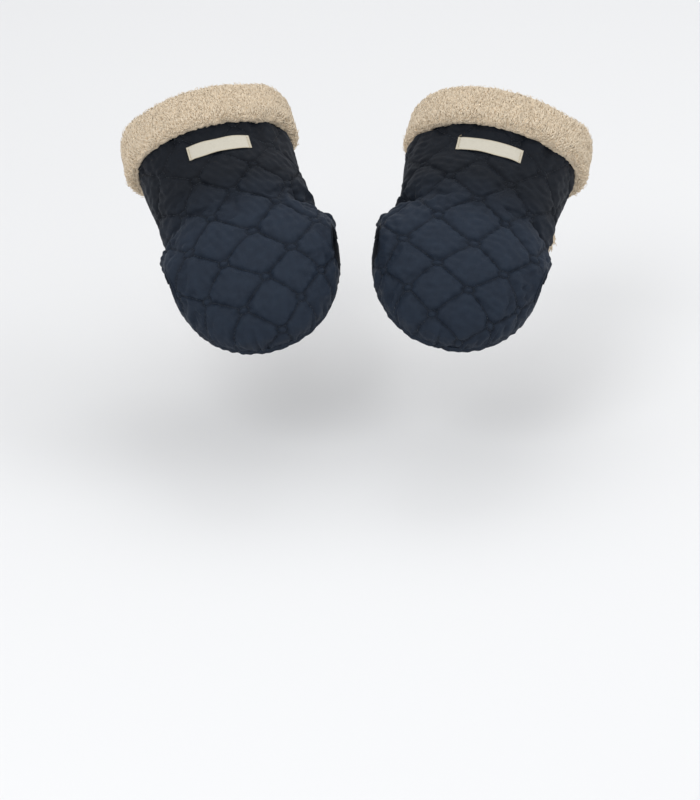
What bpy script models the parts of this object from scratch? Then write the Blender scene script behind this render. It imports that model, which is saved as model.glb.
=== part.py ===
"""A pair of quilted hand muffs that close round a pram handlebar.

Each muff is a padded mitt: a quilted shell, a sheet of wadding and a curly pile lining. Its top panel
arches over the bar and the hands. Below the bar a flap swings down on a cloth hinge, so that the muff
goes over the bar from above, and press studs on a tape close it again. A turned-out band of pile
finishes the mouth.

A muff is drawn in its own frame: x along the handlebar, y from the closed end to the mouth, and z out
of the top panel. The bar's axis is y = 0, z = 0. The second muff is the mirror image of the first.
"""

import math

import bmesh
import bpy
import numpy as np
from mathutils import Matrix, Vector

MM = 0.001
DEGREE = math.pi / 180

# Gaps between neighbours
seam_gap = 0.3 * MM
tape_ease = 3.5 * MM

# Layers, from outside to inside
shell_thickness = 1.5 * MM
wadding_thickness = 4.0 * MM
lining_thickness = 8.0 * MM

# Handlebar: what the muff closes round
grip_radius = 16.0 * MM
passage_ease = 3.5 * MM
bar_to_flap = 2.0 * MM

# Outline of a muff, seen from above
tip_from_bar = 91.0 * MM
widest_from_bar = 30.0 * MM
hinge_from_bar = 57.0 * MM
band_from_bar = 150.0 * MM
band_height = 47.0 * MM
lobe_half_width = 88.0 * MM
waist_half_width = 76.0 * MM
mouth_half_width = 79.0 * MM
tube_lean = 10.0 * MM

# Heights above and below the lip, where the top panel meets the flap
lobe_crown = 60.0 * MM
mouth_crown = 67.0 * MM
mouth_depth = 44.0 * MM
flap_hollow = 1.0 * MM

# Sides of the top panel: held out where they go over the bar, and gathered in behind it
held_out = 10.0 * MM
held_out_length = 20.0 * MM
held_out_height = 18.0 * MM
gathered_in = 12.0 * MM
gathers_from_bar = 50.0 * MM
gathered_length = 18.0 * MM
gathered_middle = 5.0 * MM
gathered_height = 26.0 * MM

# Quilting: a lattice of diamonds, sewn before the panels were cut, so it lies at its own turn on each
puff_height = 4.4 * MM
diamond_half_width = 30.0 * MM
diamond_half_height = 27.0 * MM
quilt_turns = {"left": 2.3 * DEGREE, "right": -8.5 * DEGREE}
quilt_starts = {"left": (6.8 * MM, 11.7 * MM), "right": (-5.4 * MM, 1.5 * MM)}
quilt_fade_length = 30.0 * MM
lip_fade_height = 22.0 * MM

# Cuff band
band_thickness = 10.5 * MM
rim_cover = 11.0 * MM

# Label
label_width = 64.0 * MM
label_height = 16.5 * MM
label_thickness = 0.7 * MM
label_below_band = 20.0 * MM
label_off_centre = 3.5 * MM

# Snap tape and its press studs
tape_thickness = 0.8 * MM
tape_width = 14.0 * MM
stud_radius = 5.0 * MM
stud_flange = 1.2 * MM
ball_radius = 2.0 * MM
ball_reach = 1.5 * MM
socket_height = 2.0 * MM
socket_bore_radius = 2.8 * MM
socket_lip = 0.5 * MM

# Place of the left muff on the bar: half the spacing, and the arch of the bar there
muff_spacing = 203.4 * MM
bar_forward = 6.0 * MM
bar_drop = 18.0 * MM

# Roundness of the sections: 2 is an ellipse, and more is squarer
outline_power = 2.2
over_bar_power = 2.6
flap_power = 3.2
tip_power = 0.45
puff_power = 0.6

# Shares of a piece's own size
band_round_share = 0.6
stud_edge_share = 0.9
ball_neck_share = 0.7
turned_core_share = 0.02
stud_spread_share = 0.30
tape_reach_share = 0.68
over_bar_share = 0.51
flat_top_share = 0.35
full_side_share = 0.85
outer_gather_share = 0.3

# Counts of facets and pieces
lobe_rows = 10
shoulder_rows = 3
tube_rows = 7
band_rows = 2
quilted_lobe_rows = 18
fine_columns = 16
coarse_columns = fine_columns // 2
round_sides = 8
arch_steps = 12
stud_count = 5

# Directions of the left muff's own axes, as the muff sits on the arched bar
bar_direction = Vector((0.965, 0.110, 0.236))
mouth_direction = Vector((-0.234, 0.876, 0.421))

# Worked out from the sizes above
wadding_at = shell_thickness + seam_gap
lining_at = wadding_at + wadding_thickness + seam_gap
inside_at = lining_at + lining_thickness
lip_z = -(grip_radius + bar_to_flap)
flap_depth = inside_at + flap_hollow
lobe_length = tip_from_bar + widest_from_bar
rim_from_bar = band_from_bar + band_height
cloth_end = rim_from_bar - rim_cover
passage_radius = grip_radius + passage_ease
tape_at = lining_at + tape_ease
flap_tape_bottom = lip_z + seam_gap / 2
socket_bottom = flap_tape_bottom + tape_thickness + seam_gap
stud_bottom = socket_bottom + socket_height + seam_gap
top_tape_bottom = stud_bottom + stud_flange + seam_gap
recess_top = top_tape_bottom + tape_thickness + seam_gap
over_bar_reach = over_bar_share * lobe_half_width
quilt_end = band_from_bar - label_below_band - label_height
cutter_margin = lining_thickness
weld_distance = 0.001 * MM


def smooth_step(value, start, end):
    """0 before start, 1 after end, and an even curve between them."""
    share = min(max((value - start) / (end - start), 0.0), 1.0)
    return share * share * (3.0 - 2.0 * share)


def half_width(y):
    """Half the outer width of a muff past its widest place."""
    shoulder = smooth_step(y, widest_from_bar + (hinge_from_bar - widest_from_bar) / 4, hinge_from_bar)
    mouth = smooth_step(y, hinge_from_bar, band_from_bar)
    waist = lobe_half_width + (waist_half_width - lobe_half_width) * shoulder
    return waist + (mouth_half_width - waist_half_width) * mouth


def lean(y):
    """How far the tube leans away from the pair's middle."""
    return -tube_lean * smooth_step(y, widest_from_bar, band_from_bar)


def crown(y):
    """Height of the top panel over the lip, past the widest place."""
    return lobe_crown + (mouth_crown - lobe_crown) * smooth_step(y, widest_from_bar, band_from_bar)


def depth(y):
    """Depth of the underside below the lip, past the hinge."""
    return flap_depth + (mouth_depth - flap_depth) * smooth_step(y, hinge_from_bar, band_from_bar)


def signed_power(value, power):
    return math.copysign(abs(value) ** power, value)


def even_angles(power, width, height, columns):
    """Angles round half a section that cut its outline into equal lengths."""
    dense = np.linspace(0.0, math.pi, 721)
    across = [width * signed_power(math.cos(a), 2.0 / power) for a in dense]
    up = [height * abs(math.sin(a)) ** (2.0 / power) for a in dense]
    steps = np.hypot(np.diff(across), np.diff(up))
    walked = np.concatenate([[0.0], np.cumsum(steps)])
    return np.interp(np.linspace(0.0, walked[-1], columns + 1), walked, dense)


top_angles = even_angles(outline_power, waist_half_width, lobe_crown, fine_columns)
flap_angles = even_angles(flap_power, lobe_half_width, flap_depth, fine_columns)
mouth_angles = even_angles(outline_power, mouth_half_width, mouth_depth, fine_columns)


def section_point(y, shift, width, height, angle, power, side):
    """A point of a half section: side is 1 over the lip and -1 below it."""
    x = shift + width * signed_power(math.cos(angle), 2.0 / power)
    z = lip_z + side * (seam_gap / 2 + height * abs(math.sin(angle)) ** (2.0 / power))
    return np.array((x, y, z))


def lobe_row(turn, inset):
    """Place y and half width of a row of the rounded end; turn 0 is the tip, a quarter turn the widest."""
    power = 2.0 / outline_power
    y = widest_from_bar - (lobe_length - inset) * math.cos(turn) ** power
    return y, (lobe_half_width - inset) * math.sin(turn) ** power


lobe_turns = [math.pi / 2 * row / lobe_rows for row in range(lobe_rows + 1)]
shoulder_places = list(np.linspace(widest_from_bar, hinge_from_bar, shoulder_rows + 1)[1:])
tube_places = list(np.linspace(hinge_from_bar, band_from_bar, tube_rows + 1))
band_places = list(np.linspace(band_from_bar, cloth_end, band_rows + 1)[1:])


def bell(value, width):
    """1 at nothing, and an even fall to 0 past the width."""
    return math.exp(-((value / width) ** 2))


def squareness(y):
    """Power of a section of the top panel: the cloth stands up a little where it goes over the bar."""
    return outline_power + (over_bar_power - outline_power) * bell(y, over_bar_reach)


def top_point(y, shift, width, height, angle, power):
    """A point of the top panel, with its sides held out by the bar and gathered in behind it."""
    x, _, z = section_point(y, shift, width, height, angle, power, 1)
    share = abs(x - shift) / width if width > 0 else 0.0
    out = held_out * bell(y, held_out_length) * bell(z - held_out_height, held_out_height)
    drawn = gathered_in * bell(y - gathers_from_bar, gathered_length)
    drawn *= bell(z - gathered_middle, gathered_height) * smooth_step(z, lip_z, gathered_middle)
    if x < shift:
        drawn *= outer_gather_share
    moved = (out - drawn) * smooth_step(share, flat_top_share, full_side_share)
    return np.array((x + moved * math.copysign(1.0, x - shift), y, z))


def top_rows(turns, inset):
    """Place, lean, half width and height of each row of the top panel, from the tip to the mouth."""
    rows = []
    for turn in turns:
        y, width = lobe_row(turn, inset)
        rows.append((y, 0.0, width, (lobe_crown - inset) * math.sin(turn) ** (2.0 / outline_power)))
    for y in shoulder_places + tube_places[1:] + band_places:
        rows.append((y, lean(y), half_width(y) - inset, crown(y) - inset))
    return rows


def top_grid(inset, columns=fine_columns):
    """Points of the top panel at a depth under its outer face, as rows from the tip to the mouth."""
    angles = top_angles[:: fine_columns // columns]
    rows = top_rows(lobe_turns, inset)
    return np.array([[top_point(*row, a, squareness(row[0])) for a in angles] for row in rows])


def finer_rows(angles, point_at):
    """Rows of the top panel's face, twice as many columns and more rows, but plain near the band."""
    turns = [math.pi / 2 * row / quilted_lobe_rows for row in range(quilted_lobe_rows + 1)]
    rows = []
    for row in top_rows(turns, 0.0):
        line = np.array([point_at(row, a) for a in angles])
        plain = (line[:-1:2] + line[2::2]) / 2
        line[1::2] += (plain - line[1::2]) * smooth_step(row[0], quilt_end - quilt_fade_length, quilt_end)
        if rows and rows[-1][0][1] >= hinge_from_bar and row[0] <= quilt_end + label_height:
            rows.append((rows[-1] + line) / 2)
        rows.append(line)
    return np.array(rows)


def quilted_grid(side):
    """Points of one muff's quilted face."""
    halves = np.arange(2 * fine_columns + 1) / 2
    angles = np.interp(halves, np.arange(fine_columns + 1), top_angles)
    grid = finer_rows(angles, lambda row, a: top_point(*row, a, squareness(row[0])))
    laid = finer_rows(angles, lambda row, a: section_point(*row, a, outline_power, 1))
    walked = np.cumsum(np.linalg.norm(np.diff(laid, axis=1, prepend=laid[:, :1]), axis=2), axis=1)
    crown_line = laid[:, fine_columns]
    gone = np.cumsum(np.linalg.norm(np.diff(crown_line, axis=0, prepend=crown_line[:1]), axis=1))
    gone += widest_from_bar - gone[quilted_lobe_rows]
    out = np.cross(np.gradient(grid, axis=1), np.gradient(grid, axis=0))
    out *= np.sign((out * (grid - (0.0, 0.0, lip_z))).sum(2, keepdims=True))
    out[quilted_lobe_rows:, :, 1] = 0.0
    out /= np.maximum(np.linalg.norm(out, axis=2, keepdims=True), weld_distance**2)
    quilted = grid.copy()
    for row in range(2, len(grid) - 1):
        for column in range(1, 2 * fine_columns):
            across = walked[row, fine_columns] - walked[row, column]
            rise = puff(across, gone[row], grid[row, 0, 1], side)
            rise *= smooth_step(grid[row, column, 2], lip_z, lip_z + lip_fade_height)
            quilted[row, column] += out[row, column] * rise
    return quilted


def puff(across, along, y, side):
    """How far the quilting swells here: nothing on a stitch line, most in the middle of a diamond."""
    turn = quilt_turns[side]
    x, z = across - quilt_starts[side][0], along - quilt_starts[side][1]
    first = (math.cos(turn) * x + math.sin(turn) * z) / diamond_half_width
    second = (math.cos(turn) * z - math.sin(turn) * x) / diamond_half_height
    swell = abs(math.sin(math.pi / 2 * (first + second)) * math.sin(math.pi / 2 * (first - second)))
    return puff_height * swell**puff_power * (1.0 - smooth_step(y, quilt_end - quilt_fade_length, quilt_end))


def flap_grid(inset, columns=fine_columns, flat=False):
    """Points of the flap's underside at a depth inside it, from the tip to the hinge."""
    stride = fine_columns // columns
    rows = []
    for turn in lobe_turns:
        y, width = lobe_row(turn, inset)
        rows.append((y, 0.0, width, (flap_depth - inset) * math.sin(turn) ** tip_power))
    for y in shoulder_places:
        rows.append((y, lean(y), half_width(y) - inset, flap_depth - inset))
    rows[-1] = (hinge_from_bar - seam_gap / 2, *rows[-1][1:])
    grid = []
    for y, shift, width, height in rows:
        angles = flap_angles[::stride]
        reach = 0.0 if flat else height
        grid.append([section_point(y, shift, width, reach, a, flap_power, -1) for a in angles])
    return np.array(grid)


def palm_grid(inset, columns=fine_columns):
    """Points of the palm panel at a depth inside it, from the hinge to the mouth."""
    stride = fine_columns // columns
    grid = []
    for y in [hinge_from_bar + seam_gap / 2] + tube_places[1:] + band_places:
        opened = smooth_step(y, hinge_from_bar, band_from_bar)
        angles = flap_angles + (mouth_angles - flap_angles) * opened
        power = flap_power + (outline_power - flap_power) * opened
        size = (half_width(y) - inset, depth(y) - inset)
        grid.append([section_point(y, lean(y), *size, a, power, -1) for a in angles[::stride]])
    return np.array(grid)


def new_mesh(name, points, faces):
    """A mesh whose doubled points are welded and whose faces point out."""
    welded = {}
    places = []
    index = []
    for point in points:
        key = tuple(np.round(np.array(point) / weld_distance).astype(int))
        if key not in welded:
            welded[key] = len(places)
            places.append(tuple(point))
        index.append(welded[key])
    kept = []
    for face in faces:
        corners = []
        for corner in face:
            if index[corner] not in corners:
                corners.append(index[corner])
        if len(corners) > 2:
            kept.append(corners)
    mesh = bpy.data.meshes.new(name)
    mesh.from_pydata(places, [], kept)
    mesh.validate()
    face_out(mesh)
    return mesh


def face_out(mesh):
    """Turn every face of a closed mesh to point out."""
    work = bmesh.new()
    work.from_mesh(mesh)
    bmesh.ops.recalc_face_normals(work, faces=work.faces)
    work.to_mesh(mesh)
    work.free()


def bridge(points, first, second):
    """Faces between two edges that run side by side, however many points each has."""
    shares = []
    for edge in (first, second):
        places = np.array([points[at] for at in edge])
        walked = np.cumsum(np.linalg.norm(np.diff(places, axis=0, prepend=places[:1]), axis=1))
        shares.append(walked / walked[-1] if walked[-1] > 0 else np.linspace(0, 1, len(edge)))
    faces = []
    here, there = 0, 0
    while here < len(first) - 1 or there < len(second) - 1:
        more = here < len(first) - 1
        if more and (there == len(second) - 1 or shares[0][here + 1] <= shares[1][there + 1]):
            faces.append((first[here], first[here + 1], second[there]))
            here += 1
        else:
            faces.append((first[here], second[there + 1], second[there]))
            there += 1
    return faces


def layer_mesh(name, outer, inner):
    """A closed layer of cloth between two grids, which need not be equally fine."""
    points = [tuple(p) for grid in (outer, inner) for line in grid for p in line]
    faces = []
    indices = []
    start = 0
    for grid in (outer, inner):
        rows, columns = grid.shape[:2]
        index = start + np.arange(rows * columns).reshape(rows, columns)
        start += rows * columns
        for row in range(rows - 1):
            for column in range(columns - 1):
                a, b = index[row, column], index[row, column + 1]
                c, d = index[row + 1, column + 1], index[row + 1, column]
                flat_apart = np.linalg.norm(grid[row, column] - grid[row + 1, column + 1])
                other_apart = np.linalg.norm(grid[row, column + 1] - grid[row + 1, column])
                if columns > fine_columns + 1 and flat_apart < other_apart:
                    faces += [(a, b, c), (a, c, d)]
                else:
                    faces += [(a, b, d), (b, c, d)]
        indices.append(index)
    outside, inside = indices
    for edge in ((slice(None), 0), (slice(None), -1), (0, slice(None)), (-1, slice(None))):
        faces += bridge(points, list(outside[edge]), list(inside[edge]))
    return new_mesh(name, points, faces)


def ring_mesh(name, rings):
    """A closed tube bent into a ring: each entry is one loop of points, and the last joins the first."""
    count = len(rings[0])
    points = [tuple(p) for ring in rings for p in ring]
    faces = []
    for number in range(len(rings)):
        after = (number + 1) % len(rings)
        for column in range(count):
            beside = (column + 1) % count
            a, b = number * count + column, number * count + beside
            c, d = after * count + beside, after * count + column
            faces += [(a, b, c), (a, c, d)]
    return new_mesh(name, points, faces)


def turned_mesh(name, profile):
    """A closed turned piece; the profile lists (radius, height) from its axis or bore, round to the start."""
    sides = [2 * math.pi * side / round_sides for side in range(round_sides)]
    rings = [[(r * math.cos(a), r * math.sin(a), z) for a in sides] for r, z in profile]
    mesh = ring_mesh(name, rings)
    mesh.shade_smooth()
    mesh.set_sharp_from_angle(angle=math.radians(30))
    return mesh


def cuff_mesh(name):
    """The turned-out band of pile: outside the shell, over the rim and down to the lining's inner face."""
    face = -seam_gap
    proud = face - band_thickness
    rounded = face - band_thickness * band_round_share
    round_off = band_thickness / 2
    floor = cloth_end + seam_gap
    profile = [
        (face, band_from_bar),
        (rounded, band_from_bar - seam_gap),
        (proud, band_from_bar + round_off),
        (proud, rim_from_bar - round_off * 2),
        (rounded, rim_from_bar - round_off / 2),
        (shell_thickness, rim_from_bar),
        (inside_at - lining_thickness / 2, rim_from_bar - round_off / 4),
        (inside_at, rim_from_bar - round_off),
        (inside_at, floor),
        (face, floor),
    ]
    rings = []
    for inset, y in profile:
        width = half_width(y) - inset
        shift = lean(y)
        over = [section_point(y, shift, width, crown(y) - inset, a, outline_power, 1) for a in top_angles]
        under = [section_point(y, shift, width, depth(y) - inset, a, outline_power, -1) for a in mouth_angles]
        for end in (0, -1):
            over[end][2] = lip_z
        rings.append(over + under[::-1][1:-1])
    return ring_mesh(name, rings)


def surface_point(grid, x, y):
    """The point of the top panel's facets over a place (x, y), and the facet's direction out."""
    best = None
    for row in range(grid.shape[0] - 1):
        low, high = grid[row][0][1], grid[row + 1][0][1]
        if not low <= y <= high:
            continue
        share = (y - low) / (high - low)
        line = grid[row] + (grid[row + 1] - grid[row]) * share
        for column in range(grid.shape[1] - 1):
            right, left = line[column], line[column + 1]
            if left[0] <= x <= right[0]:
                along = (right[0] - x) / (right[0] - left[0])
                best = right + (left - right) * along
                out = Vector(right - left).cross(Vector(grid[row + 1][column] - grid[row][column]))
    return best, np.array(out.normalized())


def label_mesh(name):
    """A woven label that follows the facets of the top panel just below the band."""
    grid = quilted_grid("left")
    top = band_from_bar - label_below_band
    bottom = top - label_height
    row = min(range(grid.shape[0]), key=lambda r: abs(grid[r][0][1] - (top + bottom) / 2))
    ends = (-label_off_centre - label_width / 2, -label_off_centre + label_width / 2)
    bends = [p[0] for p in grid[row] if ends[0] + label_thickness < p[0] < ends[1] - label_thickness]
    across = [ends[0], *sorted(bends), ends[1]]
    along = [bottom, (top + bottom) / 2, top]
    lower, upper = [], []
    for y in along:
        line = []
        for x in across:
            point, out = surface_point(grid, x, y)
            line.append(point + out * (seam_gap + label_thickness / 2))
        lower.append([p - np.array((0, 0, label_thickness / 2)) for p in line])
        upper.append([p + np.array((0, 0, label_thickness / 2)) for p in line])
    return layer_mesh(name, np.array(upper), np.array(lower))


def tape_mesh(name, bottom):
    """A flat tape that runs round the closed end, just inside the wadding."""
    segments = 2 * lobe_rows
    loops = []
    for step in range(segments + 1):
        turn = math.pi / 2 * tape_reach_share * (2 * step / segments - 1)
        side = math.copysign(1.0, turn)
        loop = []
        for inset in (tape_at, tape_at + tape_width):
            y, width = lobe_row(abs(turn), inset)
            loop.append((side * width, y))
        loops.append(loop)
    grids = []
    for z in (bottom, bottom + tape_thickness):
        grids.append(np.array([[(x, y, z) for x, y in loop] for loop in loops]))
    return layer_mesh(name, grids[1], grids[0])


def stud_places():
    """Centres of the press studs along the middle of the tape."""
    places = []
    for number in range(stud_count):
        turn = math.pi / 2 * stud_spread_share * (number - (stud_count - 1) / 2)
        y, width = lobe_row(abs(turn), tape_at + tape_width / 2)
        places.append((math.copysign(width, turn), y))
    return places


def stud_mesh(name):
    """The upper half of a press stud: a flange with a ball that points down."""
    neck = ball_radius * ball_neck_share
    core = ball_radius * turned_core_share
    edge = stud_radius * stud_edge_share
    profile = [
        (core, -ball_reach),
        (neck, -ball_reach),
        (ball_radius, -ball_reach / 2),
        (neck, 0.0),
        (edge, 0.0),
        (stud_radius, stud_flange / 2),
        (edge, stud_flange),
        (core, stud_flange),
    ]
    return turned_mesh(name, profile)


def socket_mesh(name):
    """The lower half of a press stud: a ring with a rolled lip round its bore."""
    edge = stud_radius * stud_edge_share
    profile = [
        (socket_bore_radius, 0.0),
        (edge, 0.0),
        (stud_radius, socket_height / 4),
        (edge, socket_height / 2),
        (socket_bore_radius + 2 * socket_lip, socket_height / 2),
        (socket_bore_radius + socket_lip, socket_height),
        (socket_bore_radius, socket_height - socket_lip),
    ]
    return turned_mesh(name, profile)


def passage_mesh(name):
    """The room that the bar takes through both sides: an arch that stands on the lip."""
    bottom = lip_z - cutter_margin
    reach = lobe_half_width + cutter_margin
    arch = [math.pi * step / arch_steps for step in range(arch_steps + 1)]
    outline = [(passage_radius * math.cos(a), passage_radius * math.sin(a)) for a in arch]
    outline += [(-passage_radius, bottom), (passage_radius, bottom)]
    rings = [[(x, y, z) for y, z in outline] for x in (-reach, reach)]
    points = rings[0] + rings[1]
    count = len(outline)
    faces = [tuple(range(count)), tuple(range(2 * count - 1, count - 1, -1))]
    faces += [(i, (i + 1) % count, count + (i + 1) % count, count + i) for i in range(count)]
    return new_mesh(name, points, faces)


def recess_mesh(name):
    """The room above the flap's tape for the studs, out of the top panel's lining."""
    reach = lobe_half_width + cutter_margin
    ends = (-tip_from_bar - cutter_margin, -passage_radius)
    heights = (lip_z - cutter_margin, recess_top)
    points = [(x, y, z) for x in (-reach, reach) for y in ends for z in heights]
    faces = [(0, 1, 3, 2), (4, 6, 7, 5), (0, 4, 5, 1), (2, 3, 7, 6), (0, 2, 6, 4), (1, 5, 7, 3)]
    return new_mesh(name, points, faces)


def material(name, colour, roughness, metallic=0.0):
    """A Principled BSDF material."""
    made = bpy.data.materials.new(name)
    made.use_nodes = True
    shader = made.node_tree.nodes["Principled BSDF"]
    shader.inputs["Base Color"].default_value = (*colour, 1.0)
    shader.inputs["Roughness"].default_value = roughness
    shader.inputs["Metallic"].default_value = metallic
    made.diffuse_color = (*colour, 1.0)
    return made


def place(name, mesh, parent, finish=None, offset=(0.0, 0.0, 0.0)):
    """One named object on its parent; the two muffs share its mesh."""
    made = bpy.data.objects.new(name, mesh)
    bpy.context.scene.collection.objects.link(made)
    made.parent = parent
    made.location = offset
    if finish is not None and not mesh.materials:
        mesh.materials.append(finish)
    return made


def make_cutter(name, mesh, parent):
    """A shape that only cuts others."""
    made = place(name, mesh, parent)
    made.hide_render = True
    made.display_type = "WIRE"
    return made


def cut(target, cutter):
    """Cut a cutter's shape out of a piece."""
    step = target.modifiers.new(cutter.name, "BOOLEAN")
    step.operation = "DIFFERENCE"
    step.solver = "EXACT"
    step.object = cutter


for old in list(bpy.data.objects):
    bpy.data.objects.remove(old, do_unlink=True)

navy_cotton = material("navy_cotton", (0.016, 0.023, 0.035), 0.75)
white_fill = material("white_fill", (0.80, 0.80, 0.78), 0.95)
cream_pile = material("cream_pile", (0.72, 0.58, 0.38), 0.95)
label_cotton = material("label_cotton", (0.78, 0.73, 0.62), 0.85)
navy_tape = material("navy_tape", (0.020, 0.026, 0.038), 0.80)
nickel = material("nickel", (0.62, 0.60, 0.57), 0.30, 1.0)

hinge_z = lip_z - seam_gap / 2 - flap_depth
hinge_centre = (0.0, hinge_from_bar, hinge_z)
from_hinge = (0.0, -hinge_from_bar, -hinge_z)

few = coarse_columns
wadding_in = lining_at - seam_gap
layers = {
    "top_wadding": (top_grid(wadding_at, few), top_grid(wadding_in, few), white_fill),
    "top_lining": (top_grid(lining_at, few), top_grid(inside_at, few), cream_pile),
    "palm_shell": (palm_grid(0.0), palm_grid(shell_thickness, few), navy_cotton),
    "palm_wadding": (palm_grid(wadding_at, few), palm_grid(wadding_in, few), white_fill),
    "palm_lining": (palm_grid(lining_at, few), palm_grid(inside_at, few), cream_pile),
    "flap_shell": (flap_grid(0.0), flap_grid(shell_thickness, few), navy_cotton),
    "flap_wadding": (flap_grid(wadding_at, few), flap_grid(wadding_in, few), white_fill),
    "flap_lining": (flap_grid(lining_at, few), flap_grid(lining_at, few, flat=True), cream_pile),
}
sheets = {name: (layer_mesh(name, outer, inner), finish) for name, (outer, inner, finish) in layers.items()}
body_meshes = {name: made for name, made in sheets.items() if not name.startswith("flap")}
body_meshes["cuff_band"] = (cuff_mesh("cuff_band"), cream_pile)
body_meshes["label"] = (label_mesh("label"), label_cotton)
body_meshes["top_snap_tape"] = (tape_mesh("top_snap_tape", top_tape_bottom), navy_tape)
flap_meshes = {name: made for name, made in sheets.items() if name.startswith("flap")}
flap_meshes["flap_snap_tape"] = (tape_mesh("flap_snap_tape", flap_tape_bottom), navy_tape)
top_inside = top_grid(shell_thickness, few)
top_shells = {side: layer_mesh(side + "_top_shell", quilted_grid(side), top_inside) for side in quilt_turns}
stud = stud_mesh("stud")
socket = socket_mesh("socket")
passage = passage_mesh("bar_passage")
recess = recess_mesh("stud_recess")

across = bar_direction.normalized()
out_of_top = across.cross(mouth_direction).normalized()
along = out_of_top.cross(across)
left_turn = Matrix((across, along, out_of_top)).transposed()
mirror = Matrix.Diagonal((-1.0, 1.0, 1.0))

for side, reflect in (("left", False), ("right", True)):
    sign = 1.0 if reflect else -1.0
    turn = mirror @ left_turn @ mirror if reflect else left_turn
    muff = bpy.data.objects.new(side + "_muff_frame", None)
    bpy.context.scene.collection.objects.link(muff)
    muff.location = (sign * muff_spacing / 2, -bar_forward, -bar_drop)
    muff.rotation_euler = turn.to_euler()
    muff.scale = (-sign, 1.0, 1.0)
    hinge = bpy.data.objects.new(side + "_hinge_frame", None)
    bpy.context.scene.collection.objects.link(hinge)
    hinge.parent = muff
    hinge.location = hinge_centre
    bar_cutter = make_cutter(side + "_bar_passage", passage, muff)
    stud_cutter = make_cutter(side + "_stud_recess", recess, muff)
    panels = {"top_shell": (top_shells[side], navy_cotton), **body_meshes}
    for name, (mesh, finish) in panels.items():
        piece = place(side + "_" + name, mesh, muff, finish)
        if name in ("top_shell", "top_wadding", "top_lining"):
            cut(piece, bar_cutter)
        if name == "top_lining":
            cut(piece, stud_cutter)
    for name, (mesh, finish) in flap_meshes.items():
        place(side + "_" + name, mesh, hinge, finish, from_hinge)
    for number, (x, y) in enumerate(stud_places(), 1):
        place(f"{side}_stud_{number}", stud, muff, nickel, (x, y, stud_bottom))
        on_flap = (x, y - hinge_from_bar, socket_bottom - hinge_z)
        place(f"{side}_socket_{number}", socket, hinge, nickel, on_flap)
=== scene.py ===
# %% [markdown]
# # A pair of quilted hand muffs
# Each muff is a padded mitt: navy quilted cotton outside, curly cream pile inside, and a turned-out pile
# cuff at the mouth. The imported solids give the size, the place and the motion of every piece. This
# lesson dresses them: it rebuilds each layer of cloth as a fine mesh in the same place, lets a cloth
# simulation swell the quilting, plants the pile curl by curl, and mixes every finish from nodes.

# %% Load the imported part
import math

import bmesh
import bpy
import numpy as np
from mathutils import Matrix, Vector


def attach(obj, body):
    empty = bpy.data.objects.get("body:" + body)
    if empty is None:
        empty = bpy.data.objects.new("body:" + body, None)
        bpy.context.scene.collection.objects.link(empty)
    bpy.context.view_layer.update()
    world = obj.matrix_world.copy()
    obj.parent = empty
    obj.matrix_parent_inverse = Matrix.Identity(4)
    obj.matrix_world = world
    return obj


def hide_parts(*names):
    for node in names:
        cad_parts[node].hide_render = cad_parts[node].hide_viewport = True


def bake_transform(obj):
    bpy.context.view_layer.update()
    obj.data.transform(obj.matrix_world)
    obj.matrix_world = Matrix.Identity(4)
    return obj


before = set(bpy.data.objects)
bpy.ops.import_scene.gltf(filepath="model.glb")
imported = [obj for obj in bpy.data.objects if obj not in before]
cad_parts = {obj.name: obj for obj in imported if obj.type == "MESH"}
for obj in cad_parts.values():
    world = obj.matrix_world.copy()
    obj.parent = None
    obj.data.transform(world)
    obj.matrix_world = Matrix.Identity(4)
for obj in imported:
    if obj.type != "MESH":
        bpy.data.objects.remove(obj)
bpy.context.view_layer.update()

# %% [markdown]
# ## The sizes of a muff
# The solids were drawn from a few sizes, and the cloth has to lie exactly where they are. A mesh could
# be read back and refined, but its facets would show. It is cleaner to repeat the sizes here and work
# out the same smooth surfaces from them, as finely as the cloth needs.

# %% Sizes in metres
MM = 0.001
shell_at, wadding_at, lining_at, inside_at = 0.0, 1.8 * MM, 6.1 * MM, 14.1 * MM
lip_z = -18.0 * MM
seam_gap = 0.3 * MM
tip_from_arch, widest_from_arch, hinge_from_arch = 91.0 * MM, 30.0 * MM, 57.0 * MM
band_from_arch, rim_from_arch, cloth_end = 150.0 * MM, 197.0 * MM, 186.0 * MM
lobe_half_width, waist_half_width, mouth_half_width = 88.0 * MM, 76.0 * MM, 79.0 * MM
lobe_crown, mouth_crown = 60.0 * MM, 67.0 * MM
flap_depth, mouth_depth = 15.1 * MM, 44.0 * MM
tube_lean = 10.0 * MM
passage_radius = 19.5 * MM
lobe_length = tip_from_arch + widest_from_arch
outline_power, flap_power, tip_power = 2.2, 3.2, 0.45
over_arch_power, over_arch_reach = 2.6, 44.88 * MM
held_out, held_out_length, held_out_height = 10.0 * MM, 20.0 * MM, 18.0 * MM
gathered_in, gathers_from_arch, gathered_length = 12.0 * MM, 50.0 * MM, 18.0 * MM
gathered_middle, gathered_height = 5.0 * MM, 26.0 * MM
flat_top_share, full_side_share, outer_gather_share = 0.35, 0.85, 0.3
wave_count, path_steps = 28, 2001
side_seed = {"left": 4, "right": 5}
print("one muff is", round((tip_from_arch + rim_from_arch) / MM), "mm long")

# %% [markdown]
# ## Where the two muffs are
# Both muffs are drawn in one frame: x from one side arch to the other, y towards the mouth, z out of the
# top panel. Each muff is worn a little turned. One matrix carries the left muff to its place, and the
# right muff is its mirror image. Soft cloth doesn't keep the shape it was cut to, though: each mouth
# sinks and spreads, its two ends slump forward, and the tube fills out at its shoulder and its waist.
# Every layer goes through the same function, so all of them slump together.

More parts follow.
